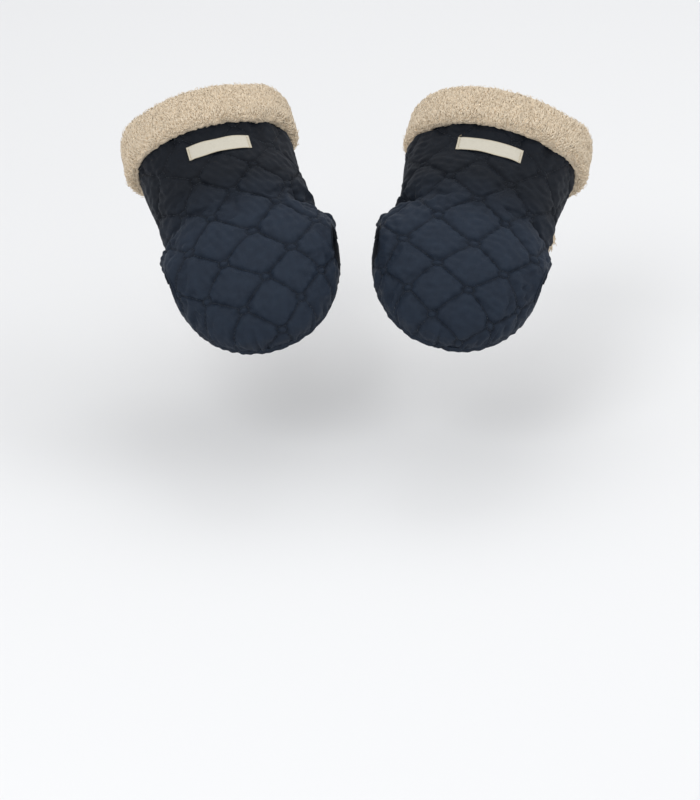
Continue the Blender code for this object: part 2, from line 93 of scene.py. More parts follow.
# %% From a muff's own frame to the row frame
across_direction = np.array((0.965, 0.110, 0.236))
mouth_direction = np.array((-0.234, 0.876, 0.421))
muff_origin = np.array((-101.7, -6.0, -18.0)) * MM
across_axis = across_direction / np.linalg.norm(across_direction)
out_axis = np.cross(across_axis, mouth_direction)
out_axis /= np.linalg.norm(out_axis)
along_axis = np.cross(out_axis, across_axis)
muff_axes = np.array((across_axis, along_axis, out_axis))
mirrored = np.array((-1.0, 1.0, 1.0))
sunk_outwards = {"left": 4.5 * MM, "right": 0.8 * MM}
sunk_back = {"left": 2.0 * MM, "right": 6.5 * MM}
tip_pressed = {"left": 0.0, "right": 3.0 * MM}
mouth_spread_share = {"left": -0.022, "right": 0.03}
outer_end_forward = {"left": 6.0 * MM, "right": 10.0 * MM}
inner_end_forward = {"left": 9.0 * MM, "right": 1.0 * MM}
end_start_share, end_full_share = 0.62, 1.04
shoulder_out = {"left": 4.0 * MM, "right": 8.0 * MM}
shoulder_start, shoulder_full = 80.0 * MM, 135.0 * MM
shoulder_fall, shoulder_end = 145.5 * MM, 149.5 * MM
shoulder_sunk, shoulder_reach = 5.0 * MM, 32.0 * MM
waist_out = {"left": 3.0 * MM, "right": 5.5 * MM}
waist_from_arch, waist_length, waist_reach = 66.0 * MM, 20.0 * MM, 30.0 * MM
filled_start_share, filled_full_share = 0.45, 0.9


def smooth_step(value, start, end):
    """0 before the start and 1 past the end, with a soft turn at both."""
    share = np.clip((value - start) / (end - start), 0.0, 1.0)
    return share * share * (3.0 - 2.0 * share)


def bell(value, width):
    """1 at zero, falling smoothly to nothing on both sides."""
    return np.exp(-((value / width) ** 2))


def to_row(points, side):
    """Points of a muff's own frame, carried to the row frame with the slump of their side."""
    sunk = np.array(points, float)
    x, y, z = np.moveaxis(np.array(points, float), -1, 0)
    to_mouth = smooth_step(y, widest_from_arch, band_from_arch)
    share = (x + tube_lean) / mouth_half_width
    sunk[..., 0] += (mouth_spread_share[side] * x - sunk_outwards[side]) * to_mouth
    near_band = smooth_step(y, shoulder_start, shoulder_full)
    near_band = near_band * (1 - smooth_step(y, shoulder_fall, shoulder_end))
    shoulder = shoulder_out[side] * bell(z + shoulder_sunk, shoulder_reach) * near_band
    shoulder = shoulder * smooth_step(share, filled_start_share, filled_full_share)
    waist = waist_out[side] * bell(z - lip_z, waist_reach) * bell(y - waist_from_arch, waist_length)
    waist = waist * smooth_step(-share, filled_start_share, filled_full_share)
    sunk[..., 0] += shoulder - waist
    sunk[..., 1] += tip_pressed[side] * smooth_step(-y, 0, tip_from_arch) - sunk_back[side] * to_mouth
    forward = np.where(share < 0, outer_end_forward[side], inner_end_forward[side])
    sunk[..., 1] += forward * smooth_step(np.abs(share), end_start_share, end_full_share) * to_mouth
    placed = sunk @ muff_axes + muff_origin
    return placed * mirrored if side == "right" else placed


print("left muff's mouth points along", np.round(along_axis, 3))

# %% [markdown]
# ## Smooth noise
# Cloth is never quite even. A sum of a few dozen plane waves in random directions makes a smooth noise
# of any bump size. It is quick on large arrays, and a fixed seed keeps it the same in every run.

# %% Smooth noise
def waves(points, bump, seed):
    """Smooth noise with bumps of about that size; its usual height is 1."""
    rng = np.random.default_rng(seed)
    turn = rng.normal(size=(points.shape[-1], wave_count))
    turn *= rng.uniform(0.6, 1.4, wave_count) * math.pi / bump / np.linalg.norm(turn, axis=0)
    total = np.cos(points @ turn + rng.uniform(0, 2 * math.pi, wave_count)).sum(-1)
    return total / math.sqrt(wave_count / 2)


print("noise rises to", round(float(waves(np.random.default_rng(1).random((500, 3)), 0.1, 2).max()), 2))

# %% [markdown]
# ## The outline of a muff
# From above, a muff is a rounded end, a waist behind the hands and a slightly wider mouth. These
# functions say how wide, how high and how deep it is at each distance from the middle of its two side
# arches, and how far the tube leans away from the pair's middle.

# %% Width, height, depth and lean
def half_width(y):
    shoulder = smooth_step(y, widest_from_arch + (hinge_from_arch - widest_from_arch) / 4, hinge_from_arch)
    mouth = smooth_step(y, hinge_from_arch, band_from_arch)
    waist = lobe_half_width + (waist_half_width - lobe_half_width) * shoulder
    return waist + (mouth_half_width - waist_half_width) * mouth


def lean(y):
    return -tube_lean * smooth_step(y, widest_from_arch, band_from_arch)


def crown(y):
    return lobe_crown + (mouth_crown - lobe_crown) * smooth_step(y, widest_from_arch, band_from_arch)


def depth(y):
    return flap_depth + (mouth_depth - flap_depth) * smooth_step(y, hinge_from_arch, band_from_arch)


def squareness(y):
    """Power of the top panel's section: the cloth stands up a little between the side arches."""
    return outline_power + (over_arch_power - outline_power) * bell(y, over_arch_reach)


def side_shift(x, y, z, width):
    """How far a side of the top panel is held out at its arch, or drawn in by the gathers behind it."""
    out = held_out * bell(y, held_out_length) * bell(z - held_out_height, held_out_height)
    drawn = gathered_in * bell(y - gathers_from_arch, gathered_length)
    drawn = drawn * np.where(x < 0, outer_gather_share, 1.0)
    drawn = drawn * bell(z - gathered_middle, gathered_height) * smooth_step(z, lip_z, gathered_middle)
    share = np.abs(x) / np.maximum(width, 1e-9)
    return np.sign(x) * (out - drawn) * smooth_step(share, flat_top_share, full_side_share)


print("half width at the waist", round(float(half_width(hinge_from_arch)) / MM, 1), "mm")

# %% [markdown]
# ## The top panel as a grid
# A half dome runs into a half tube. Rows that meet in a point at the tip would crowd there, right where
# the eye falls. So the dome's rows swing up from the lip like the segments of a visor, and crowd only at
# the two side seams. Every point also gets its place on the flat cloth before sewing: the stitch lines,
# the weave and the wrinkles are all drawn in that flat place.

# %% The top panel's surface
top_across, dome_rows, tube_rows = 192, 112, 120
soft_power = 2.0 / outline_power


def even_turns(across, up, power, count, end=math.pi):
    """Angles that cut a rounded outline into equal lengths."""
    dense = np.linspace(0.0, end, path_steps)
    cosine, sine = np.cos(dense), np.sin(dense)
    x = across * np.sign(cosine) * np.abs(cosine) ** (2.0 / power)
    z = up * np.abs(sine) ** (2.0 / power)
    walked = np.concatenate([[0.0], np.cumsum(np.hypot(np.diff(x), np.diff(z)))])
    return np.interp(np.linspace(0.0, walked[-1], count + 1), walked, dense)


def rounded(angle):
    """Share of the half width at an angle round a section."""
    return np.sign(np.cos(angle)) * np.abs(np.cos(angle)) ** soft_power


def raised(angle):
    """Share of the height at an angle round a section."""
    return np.abs(np.sin(angle)) ** soft_power


def panel_size(y, inset=0.0):
    """Lean, half width and height of the top panel's section at a place."""
    reach = (np.maximum(widest_from_arch - y, 0) / (lobe_length - inset)).clip(0, 1)
    share = (1 - reach**outline_power).clip(0) ** (1 / outline_power)
    past = y >= widest_from_arch
    width = np.where(past, half_width(y) - inset, (lobe_half_width - inset) * share)
    height = np.where(past, crown(y) - inset, (lobe_crown - inset) * share)
    return np.where(past, lean(y), 0.0), width, height


def squared(grid, inset):
    """A grid of evenly rounded sections, with each section made as square as its place asks."""
    x, y, z = np.moveaxis(grid, -1, 0)
    middle, width, height = panel_size(y, inset)
    width, height = np.maximum(width, 1e-9), np.maximum(height, 1e-9)
    side = (np.abs(x - middle) / width).clip(0, 1) ** (1 / soft_power)
    rise = (z / height).clip(0, 1) ** (1 / soft_power)
    power = 2 / squareness(y)
    length = np.maximum(np.hypot(side, rise), 1e-9)
    off_middle = np.sign(x - middle) * width * (side / length) ** power
    new_z = height * (rise / length) ** power + lip_z + seam_gap / 2
    return np.stack([middle + off_middle + side_shift(off_middle, y, new_z, width), y, new_z], -1)


def top_surface(inset, across=top_across, dome=dome_rows, tube=tube_rows, plain=False):
    """Points of the top panel at a depth under its face: rows from the lip at the tip to the mouth."""
    turn = even_turns(lobe_half_width, lobe_crown, outline_power, across)[None, :]
    swing = even_turns(lobe_length, lobe_crown, outline_power, dome, math.pi / 2)[:, None]
    x = (lobe_half_width - inset) * rounded(turn) * np.ones_like(swing)
    y = widest_from_arch - (lobe_length - inset) * raised(turn) * rounded(swing)
    z = (lobe_crown - inset) * raised(turn) * raised(swing)
    along = np.linspace(widest_from_arch, cloth_end, tube + 1)[1:, None]
    tube_x = lean(along) + (half_width(along) - inset) * rounded(turn)
    tube_z = (crown(along) - inset) * raised(turn)
    tube_y = along * np.ones_like(turn)
    grid = np.concatenate([np.stack([x, y, z], -1), np.stack([tube_x, tube_y, tube_z], -1)])
    if not plain:
        return squared(grid, inset)
    grid[..., 2] += lip_z + seam_gap / 2
    return grid


dome_places = np.linspace(-tip_from_arch, widest_from_arch, 1500)
dome_reach = np.abs(widest_from_arch - dome_places) / lobe_length
dome_heights = lobe_crown * (1 - dome_reach**outline_power).clip(0) ** (1 / outline_power)
dome_steps = np.hypot(np.diff(dome_places), np.diff(dome_heights))
dome_walk = widest_from_arch - np.concatenate([np.cumsum(dome_steps[::-1])[::-1], [0.0]])
quarter = np.linspace(0, math.pi / 2, 400)
quarter_side, quarter_rise = np.cos(quarter) ** soft_power, np.sin(quarter) ** soft_power
side_from_crown = quarter_side[::-1]


def walked_from_crown(ratio):
    """How long a section's outline is from its crown to each place, for a half width of 1."""
    steps = np.hypot(np.diff(quarter_side), ratio * np.diff(quarter_rise))
    return np.concatenate([np.cumsum(steps[::-1])[::-1], [0.0]])[::-1]


walk_dome = walked_from_crown(lobe_crown / lobe_half_width)
walk_mouth = walked_from_crown(mouth_crown / mouth_half_width)


def flat_place(grid):
    """Where each point of a grid lies on the flat cloth: across from the middle line, and along it."""
    y = grid[..., 1]
    on_dome = y < widest_from_arch
    along = np.where(on_dome, np.interp(y, dome_places, dome_walk), y)
    reach = np.where(on_dome, widest_from_arch - y, 0.0) / lobe_length
    scale = (1 - reach.clip(0, 1) ** outline_power).clip(1e-6) ** (1 / outline_power)
    width = np.where(on_dome, lobe_half_width * scale, half_width(y))
    share = ((grid[..., 0] - lean(y)) / width).clip(-1, 1)
    mix = smooth_step(y, widest_from_arch, band_from_arch)
    walk = [np.interp(np.abs(share), side_from_crown, one) for one in (walk_dome, walk_mouth)]
    across = np.sign(share) * width * (walk[0] * (1 - mix) + walk[1] * mix)
    return np.stack([across, along], -1)


top_grid = top_surface(shell_at)
top_flat = flat_place(top_surface(shell_at, plain=True))
print("top panel", top_grid.shape[:2], "measures", np.round(np.ptp(top_flat, axis=(0, 1)) / MM), "mm flat")

# %% [markdown]
# ## The underside as a grid
# Below the lip the cloth is shallow between the arches, where the flap is, and deepens towards the mouth
# to make room for the wrists. The flap and the palm panel are one cloth that folds at the hinge line, so
# one grid makes both.

# %% The underside's surface
under_across, flap_rows, shoulder_rows, palm_rows = 120, 56, 20, 96
flap_row_power = 1.6


def under_surface(inset, across=under_across, rows=(flap_rows, shoulder_rows, palm_rows)):
    """Points of the underside at a depth inside its face: rows from the tip to the mouth."""
    flap_turn = even_turns(lobe_half_width, flap_depth, flap_power, across)
    mouth_turn = even_turns(mouth_half_width, mouth_depth, outline_power, across)
    flap_share = np.sign(np.cos(flap_turn)) * np.abs(np.cos(flap_turn)) ** (2 / flap_power)
    mouth_share = rounded(mouth_turn)
    side = np.arccos(np.abs(flap_share) ** (1 / soft_power))[None, :]
    swing = (math.pi / 2) * np.linspace(0, 1, rows[0] + 1)[:, None] ** flap_row_power
    share = flap_share[None, :] * np.ones_like(swing)
    x = (lobe_half_width - inset) * share
    y = widest_from_arch - (lobe_length - inset) * raised(side) * rounded(swing)
    sine = np.sqrt((1 - (np.sin(side) * np.cos(swing)) ** 2).clip(1e-9))
    inner = (np.abs(share) / sine**soft_power).clip(0, 1)
    z = -(flap_depth - inset) * sine**tip_power * (1 - inner**flap_power) ** (1 / flap_power)
    z[0] = 0.0
    parts = [np.stack([x, y, z], -1)]
    stops = (widest_from_arch, hinge_from_arch, cloth_end)
    for start, end, count in zip(stops, stops[1:], rows[1:]):
        along = np.linspace(start, end, count + 1)[1:, None]
        opened = smooth_step(along, hinge_from_arch, band_from_arch)
        share = flap_share * (1 - opened) + mouth_share * opened
        power = flap_power + (outline_power - flap_power) * opened
        x = lean(along) + (half_width(along) - inset) * share
        z = -(depth(along) - inset) * (1 - np.abs(share).clip(0, 1) ** power).clip(0) ** (1 / power)
        parts.append(np.stack([x, along * np.ones_like(share), z], -1))
    grid = np.concatenate(parts)
    grid[..., 2] += lip_z - seam_gap / 2
    return grid


def under_flat(grid):
    """Where each point of the underside lies on the flat cloth."""
    steps = np.linalg.norm(np.diff(grid, axis=1), axis=-1)
    walked = np.concatenate([np.zeros((len(grid), 1)), np.cumsum(steps, axis=1)], axis=1)
    middle = walked[:, walked.shape[1] // 2][:, None]
    return np.stack([middle - walked, grid[..., 1]], -1)


under_grid = under_surface(shell_at)
print("underside", under_grid.shape[:2])

# %% [markdown]
# ## From grids to pieces
# A sheet of cloth becomes a closed piece: its outer face, its inner face and the edges between them. The
# arrays go straight into the mesh, which is much faster than adding faces one by one. Named attributes
# ride along on the points, for the materials to read: the flat place, and how near a stitch line is.

# %% Meshes from arrays
weld_distance = 0.004 * MM


def unit_normals(grid):
    """The direction out of a grid at each of its points."""
    down = np.gradient(grid, axis=0)
    right = np.gradient(grid, axis=1)
    out = np.cross(down, right)
    size = np.linalg.norm(out, axis=-1, keepdims=True)
    return np.where(size > 1e-12, out / np.maximum(size, 1e-12), 0.0)


def mesh_piece(name, points, faces, attributes=None, weld=None):
    """An object from arrays of points and of faces with equal corner counts."""
    mesh = bpy.data.meshes.new(name)
    mesh.vertices.add(len(points))
    mesh.vertices.foreach_set("co", np.ascontiguousarray(points, np.float32).ravel())
    mesh.loops.add(faces.size)
    mesh.loops.foreach_set("vertex_index", np.ascontiguousarray(faces, np.int32).ravel())
    mesh.polygons.add(len(faces))
    mesh.polygons.foreach_set("loop_start", np.arange(0, faces.size, faces.shape[1], dtype=np.int32))
    for key, values in (attributes or {}).items():
        kind, field = ("FLOAT_VECTOR", "vector") if values.ndim == 2 else ("FLOAT", "value")
        mark = mesh.attributes.new(key, kind, "POINT")
        mark.data.foreach_set(field, values.astype(np.float32).ravel())
    mesh.update(calc_edges=True)
    mesh.validate()
    if weld:
        work = bmesh.new()
        work.from_mesh(mesh)
        bmesh.ops.remove_doubles(work, verts=work.verts, dist=weld)
        bmesh.ops.dissolve_degenerate(work, edges=work.edges, dist=weld)
        loose = [v for v in work.verts if not v.link_faces]
        bmesh.ops.delete(work, geom=loose, context="VERTS")
        work.to_mesh(mesh)
        work.free()
    mesh.shade_smooth()
    made = bpy.data.objects.new(name, mesh)
    bpy.context.scene.collection.objects.link(made)
    return made


def grid_faces(rows, columns):
    """The cells of a grid, each as the numbers of its four corners."""
    corner = np.arange(rows * columns).reshape(rows, columns)
    quads = np.stack([corner[:-1, :-1], corner[1:, :-1], corner[1:, 1:], corner[:-1, 1:]], -1)
    return quads.reshape(-1, 4)


def sheet_piece(name, outer, inner, keep=None, attributes=None, reverse=False):
    """A closed layer between two grids of one size; keep says which of the grid's cells are there."""
    rows, columns = outer.shape[:2]
    cells = grid_faces(rows, columns)
    keep = np.ones((rows - 1, columns - 1), bool) if keep is None else keep
    cells = cells[keep.ravel()]
    count = rows * columns
    sides = np.concatenate([cells[:, [0, 1]], cells[:, [1, 2]], cells[:, [2, 3]], cells[:, [3, 0]]])
    pair = np.sort(sides, axis=1) @ np.array([count, 1])
    _, first, times = np.unique(pair, return_index=True, return_counts=True)
    rim = sides[first[times == 1]]
    walls = np.stack([rim[:, 1], rim[:, 0], rim[:, 0] + count, rim[:, 1] + count], -1)
    faces = np.concatenate([cells, cells[:, ::-1] + count, walls])
    if reverse:
        faces = faces[:, ::-1]
    points = np.concatenate([outer.reshape(-1, 3), inner.reshape(-1, 3)])
    doubled = {}
    for key, values in (attributes or {}).items():
        doubled[key] = np.concatenate([values.reshape(count, -1)] * 2).squeeze()
    return mesh_piece(name, points, faces, doubled, weld=weld_distance)


print("helpers for meshes are ready")

# %% [markdown]
# ## Navy quilted cotton
# The cloth is a tightly woven cotton with a faint sheen. Two crossed bands of waves, drawn in the flat
# place, give threads that follow the cloth round every curve. Slow noise shifts the navy a little, the
# stitch lines get a painted shade, and the raised parts of the quilting get a paler painted highlight.
# The tube is painted a deeper navy than the closed end, as painted shade for the way light falls on it.

# %% Node helpers and the navy cotton
def srgb(code):
    """A colour written as six hex digits, as the linear values that a shader takes."""
    parts = [int(code[i : i + 2], 16) / 255 for i in (0, 2, 4)]
    return tuple(c / 12.92 if c <= 0.04045 else ((c + 0.055) / 1.055) ** 2.4 for c in parts) + (1.0,)


def new_finish(name, roughness, sheen=0.0, sheen_tint=(1, 1, 1, 1), metallic=0.0, gloss=0.2):
    """A material with its shader ready; the caller adds the nodes that colour and emboss it."""
    made = bpy.data.materials.new(name)
    made.use_nodes = True
    shader = made.node_tree.nodes["Principled BSDF"]
    shader.inputs["Roughness"].default_value = roughness
    shader.inputs["Metallic"].default_value = metallic
    shader.inputs["Sheen Weight"].default_value = sheen
    shader.inputs["Sheen Tint"].default_value = sheen_tint
    shader.inputs["Specular IOR Level"].default_value = 0.5 if metallic else gloss
    return made, shader


def add_node(finish, kind, inputs=None, **settings):
    """A node of a kind; inputs are values, or sockets of other nodes to link."""
    made = finish.node_tree.nodes.new("ShaderNode" + kind)
    for key, value in settings.items():
        setattr(made, key, value)
    for key, value in (inputs or {}).items():
        if isinstance(value, bpy.types.NodeSocket):
            finish.node_tree.links.new(value, made.inputs[key])
        else:
            made.inputs[key].default_value = value
    return made


def math_node(finish, operation, *values):
    return add_node(finish, "Math", dict(enumerate(values)), operation=operation).outputs[0]


def noise_node(finish, scale, detail=3.0, roughness=0.5, vector=None):
    inputs = {"Scale": scale, "Detail": detail, "Roughness": roughness}
    if vector is not None:
        inputs["Vector"] = vector
    return add_node(finish, "TexNoise", inputs).outputs["Fac"]


def ramp_node(finish, factor, *stops):
    """A colour ramp through (place, colour) stops."""
    ramp = add_node(finish, "ValToRGB", {"Fac": factor})
    for number, (place, colour) in enumerate(stops):
        element = ramp.color_ramp.elements[number] if number < 2 else ramp.color_ramp.elements.new(place)
        element.position, element.color = place, colour
    return ramp.outputs["Color"]


def mix_colours(finish, factor, first, second, blend="MIX"):
    made = add_node(finish, "Mix", data_type="RGBA", blend_type=blend)
    tree = finish.node_tree
    for index, value in ((0, factor), (6, first), (7, second)):
        if isinstance(value, bpy.types.NodeSocket):
            tree.links.new(value, made.inputs[index])
        else:
            made.inputs[index].default_value = value
    return made.outputs[2]


def emboss(finish, shader, height, strength, distance, under=None):
    """A bump from a height, in metres; under is a bump to lay it on."""
    inputs = {"Height": height, "Strength": strength, "Distance": distance}
    if under is not None:
        inputs["Normal"] = under
    bump = add_node(finish, "Bump", inputs)
    finish.node_tree.links.new(bump.outputs["Normal"], shader.inputs["Normal"])
    return bump.outputs["Normal"]


def read_mark(finish, name, output="Fac"):
    return add_node(finish, "Attribute", attribute_name=name).outputs[output]


def grey_node(finish, value):
    """A number as a grey, so that it can be multiplied into a colour."""
    return add_node(finish, "CombineColor", {"Red": value, "Green": value, "Blue": value}).outputs["Color"]


def set_colour(finish, shader, colour, socket="Base Color"):
    finish.node_tree.links.new(colour, shader.inputs[socket])


def weave_height(finish, place, pitch):
    """Where threads of a plain weave lie on top, and where they cross, both from 0 to 1."""
    bands = []
    for direction in ("X", "Y"):
        inputs = {"Vector": place, "Scale": math.pi / (pitch * 10), "Distortion": 0.35, "Detail": 1.0}
        made = add_node(finish, "TexWave", inputs, wave_type="BANDS", bands_direction=direction)
        bands.append(made.outputs["Fac"])
    return math_node(finish, "MAXIMUM", *bands), math_node(finish, "MULTIPLY", *bands)


thread_pitch = 0.42 * MM
navy_cotton, shader = new_finish("navy_cotton", 0.62, 0.03, srgb("8fa8d0"), gloss=0.15)
place = read_mark(navy_cotton, "flat_place", "Vector")
over, crossing = weave_height(navy_cotton, place, thread_pitch)
slow = noise_node(navy_cotton, 22.0, 4.0, 0.6)
tone = ramp_node(navy_cotton, slow, (0.30, srgb("18202c")), (0.72, srgb("1f2936")))
# Painted shade: the cotton is darkened along the stitch lines
seam = math_node(navy_cotton, "MULTIPLY", read_mark(navy_cotton, "painted_shade"), 0.5)
shaded = mix_colours(navy_cotton, seam, tone, srgb("0e141d"))
# Painted highlight: the raised parts of the quilting are painted paler
wear_and_highlight = math_node(navy_cotton, "MULTIPLY", read_mark(navy_cotton, "raised_cloth"), 0.35)
lit = mix_colours(navy_cotton, wear_and_highlight, shaded, srgb("283341"))
flecks = ramp_node(navy_cotton, crossing, (0.15, (0.78, 0.78, 0.80, 1)), (0.75, (1.12, 1.12, 1.12, 1)))
woven = mix_colours(navy_cotton, 1.0, lit, flecks, "MULTIPLY")
# Painted shade: the tube is painted darker than the closed end, for the way that light falls on it
from_arch = add_node(navy_cotton, "SeparateXYZ", {"Vector": place}).outputs["Y"]
tube_shade_range = {"Value": from_arch, "From Min": 25 * MM, "From Max": 85 * MM, "To Min": 1.06, "To Max": 0.32}
tube_shade = grey_node(navy_cotton, add_node(navy_cotton, "MapRange", tube_shade_range).outputs["Result"])
set_colour(navy_cotton, shader, mix_colours(navy_cotton, 1.0, woven, tube_shade, "MULTIPLY"))
slub = noise_node(navy_cotton, 900.0, 2.0)
creases = noise_node(navy_cotton, 160.0, 5.0, 0.62)
first = emboss(navy_cotton, shader, creases, 0.45, 0.5 * MM)
second = emboss(navy_cotton, shader, over, 0.5, 0.10 * MM, first)
emboss(navy_cotton, shader, slub, 0.3, 0.08 * MM, second)
print("navy cotton with", len(navy_cotton.node_tree.nodes), "nodes")

# %% [markdown]
# ## Curly cream pile
# Pile is dark and warm at its roots, where light is lost between the curls, and pale at its tips. Each
# curl carries a mark that runs from 0 at the root to 1 at the tip, and another that gives every curl
# its own shade. Fine noise makes the fibres.

# %% The pile
def pile_finish(name, root, body, tip, bump):
    finish, shader = new_finish(name, 0.93, 0.6, srgb("fff4e0"))
    height = read_mark(finish, "pile_height")
    shade = read_mark(finish, "curl_shade")
    tone = ramp_node(finish, height, (0.0, srgb(root)), (0.45, srgb(body)), (1.0, srgb(tip)))
    patch = noise_node(finish, 55.0, 4.0, 0.6)
    spread = math_node(finish, "ADD", math_node(finish, "MULTIPLY", shade, 0.12), 0.89)
    patchy = math_node(finish, "ADD", math_node(finish, "MULTIPLY", patch, 0.16), 0.92)
    value = math_node(finish, "MULTIPLY", spread, patchy)
    set_colour(finish, shader, mix_colours(finish, 1.0, tone, grey_node(finish, value), "MULTIPLY"))
    fibre = noise_node(finish, 1500.0, 3.0, 0.6)
    clumps = noise_node(finish, 420.0, 4.0, 0.65)
    under = emboss(finish, shader, clumps, 0.6, bump)
    emboss(finish, shader, fibre, 0.5, bump / 3, under)
    return finish


cream_pile = pile_finish("cream_pile", "cfb896", "dcc9ae", "e3d5bf", 0.5 * MM)
lining_pile = pile_finish("lining_pile", "c4ab82", "e0cfb0", "f2e7d2", 0.9 * MM)
print("pile finishes:", cream_pile.name, lining_pile.name)

# %% [markdown]
# ## Label, tape, thread, nickel and fill
# The label is an off-white cotton ribbon with a visible weave and nothing woven into it. The snap tape
# is navy twill, the thread is twisted, the studs are satin nickel with fine scratches, and the fill is
# white wadding.

# %% The smaller finishes
label_cotton, shader = new_finish("label_cotton", 0.82, 0.15)
place = read_mark(label_cotton, "flat_place", "Vector")
ribbon_pitch = 0.5 * MM
over, crossing = weave_height(label_cotton, place, ribbon_pitch)
slow = noise_node(label_cotton, 60.0, 4.0)
tone = ramp_node(label_cotton, slow, (0.3, srgb("cdc8ba")), (0.7, srgb("dcd8cc")))
grain = ramp_node(label_cotton, crossing, (0.1, (0.80, 0.79, 0.76, 1)), (0.7, (1.04, 1.04, 1.04, 1)))
# Painted shade: the ribbon is darkened round its edges
edge = mix_colours(label_cotton, read_mark(label_cotton, "painted_shade"), tone, srgb("c4b79a"))
set_colour(label_cotton, shader, mix_colours(label_cotton, 1.0, edge, grain, "MULTIPLY"))
emboss(label_cotton, shader, over, 0.8, 0.14 * MM)


def ribbed_finish(name, roughness, sheen, ribs, dark, light, strength, height):
    """A finish with slanting ribs, such as twill, or the twist of a thread."""
    finish, shader = new_finish(name, roughness, sheen)
    inputs = {"Vector": add_node(finish, "TexCoord").outputs["Object"], **ribs}
    slanting = add_node(finish, "TexWave", inputs, bands_direction="DIAGONAL").outputs["Fac"]
    set_colour(finish, shader, ramp_node(finish, slanting, (0.2, srgb(dark)), (0.8, srgb(light))))
    emboss(finish, shader, slanting, strength, height)
    return finish


twill = {"Scale": 314.0, "Distortion": 0.4}
twist = {"Scale": 600.0, "Distortion": 1.5, "Detail": 2.0}
snap_tape = ribbed_finish("snap_tape", 0.70, 0.15, twill, "141b26", "2a3442", 0.7, 0.2 * MM)
navy_thread = ribbed_finish("navy_thread", 0.55, 0.2, twist, "151c27", "252f3d", 0.6, 0.08 * MM)
tan_thread = ribbed_finish("tan_thread", 0.55, 0.2, twist, "a08c68", "c9b893", 0.6, 0.08 * MM)

nickel, shader = new_finish("nickel", 0.28, metallic=1.0)
scratches = noise_node(nickel, 1800.0, 6.0, 0.7, add_node(nickel, "TexCoord").outputs["Object"])
polish, dull = (0.20, 0.20, 0.20, 1), (0.42, 0.42, 0.42, 1)
wear_and_highlight = ramp_node(nickel, noise_node(nickel, 260.0), (0.3, polish), (0.7, dull))
set_colour(nickel, shader, wear_and_highlight, "Roughness")
set_colour(nickel, shader, ramp_node(nickel, scratches, (0.3, srgb("b5b2ac")), (0.7, srgb("d2cfc9"))))
emboss(nickel, shader, scratches, 0.15, 0.02 * MM)

white_fill, shader = new_finish("white_fill", 0.95, 0.3)
strands = noise_node(white_fill, 700.0, 6.0, 0.7)
set_colour(white_fill, shader, ramp_node(white_fill, strands, (0.3, srgb("d8d6d0")), (0.7, srgb("f4f3ef"))))
emboss(white_fill, shader, strands, 0.9, 0.4 * MM)
print("finishes:", len(bpy.data.materials))

# %% [markdown]
# ## Where the stitches run
# The quilting is a lattice of diamonds, sewn before the panels were cut, so it runs on under the edges
# and lies at its own slight turn on each muff. At every crossing the needle goes round in a small ring.
# One function gives the lattice coordinates of a flat place: the lines run where the sum or the
# difference of the two is even.

# %% The quilting lattice
diamond_half_width, diamond_half_height = 30.0 * MM, 27.0 * MM
ring_half_width, ring_half_height = 5.2 * MM, 3.6 * MM
quilt_turn = {"left": math.radians(2.3), "right": math.radians(-8.5)}
quilt_start = {"left": np.array((6.8, 11.7)) * MM, "right": np.array((-5.4, 1.5)) * MM}
wander, wander_bump = 1.1 * MM, 45.0 * MM


def strayed(flat):
    """How far the sewing strays from the straight lines of the lattice."""
    return np.stack([waves(flat, wander_bump, 11), waves(flat, wander_bump, 12)], -1) * wander


def to_lattice(flat, side):
    """The two lattice coordinates of flat places."""
    across, along = np.moveaxis(flat + strayed(flat) - quilt_start[side], -1, 0)
    cosine, sine = math.cos(quilt_turn[side]), math.sin(quilt_turn[side])
    first = (cosine * across + sine * along) / diamond_half_width
    second = (cosine * along - sine * across) / diamond_half_height
    return first, second


def stitch_distance(flat, side):
    """How far each flat place is from the nearest stitch line or ring."""
    first, second = to_lattice(flat, side)
    reach = diamond_half_width * diamond_half_height / math.hypot(diamond_half_width, diamond_half_height)
    rising = np.abs((first - second + 1) % 2 - 1) * reach
    falling = np.abs((first + second + 1) % 2 - 1) * reach
    total, difference = np.round((first + second) / 2), np.round((first - second) / 2)
    from_first = (first - total - difference) * diamond_half_width
    from_second = (second - total + difference) * diamond_half_height
    ring = np.hypot(from_first / ring_half_width, from_second / ring_half_height)
    on_ring = np.abs(ring - 1) * (ring_half_width + ring_half_height) / 2
    return np.where(ring < 1, on_ring, np.minimum(np.minimum(rising, falling), on_ring))


line = stitch_distance(top_flat, "left")
print("share of the panel within 2 mm of a stitch line:", round(float((line < 2 * MM).mean()), 2))

# %% [markdown]
# ## Let the quilting swell
# Between the stitch lines the wadding pushes the cotton up, and because there is a little more cotton
# than wadding, it wrinkles. That could be drawn with a formula, but real puckers run irregularly from
# stitch to stitch. So a cloth simulation makes them: the stitched points are pinned, the cloth is given
# some spare size, and a gentle pressure lifts it. The result is read back as an offset for every point,
# its tops are flattened a little, and a crease is pressed in along each line.

# %% The cloth simulation
spare_cloth, lift_pressure, settle_frames = 0.10, 12.0, 16
merge_step, blur_share = 0.1 * MM, 0.35
held_reach, held_columns = 1.3 * MM, 4
flat_lift, lift_bend, deepest_sink = 2.7 * MM, 0.72, 0.8 * MM
crease_depth, crease_reach = 1.3 * MM, 1.7 * MM
kept_slip = 0.8


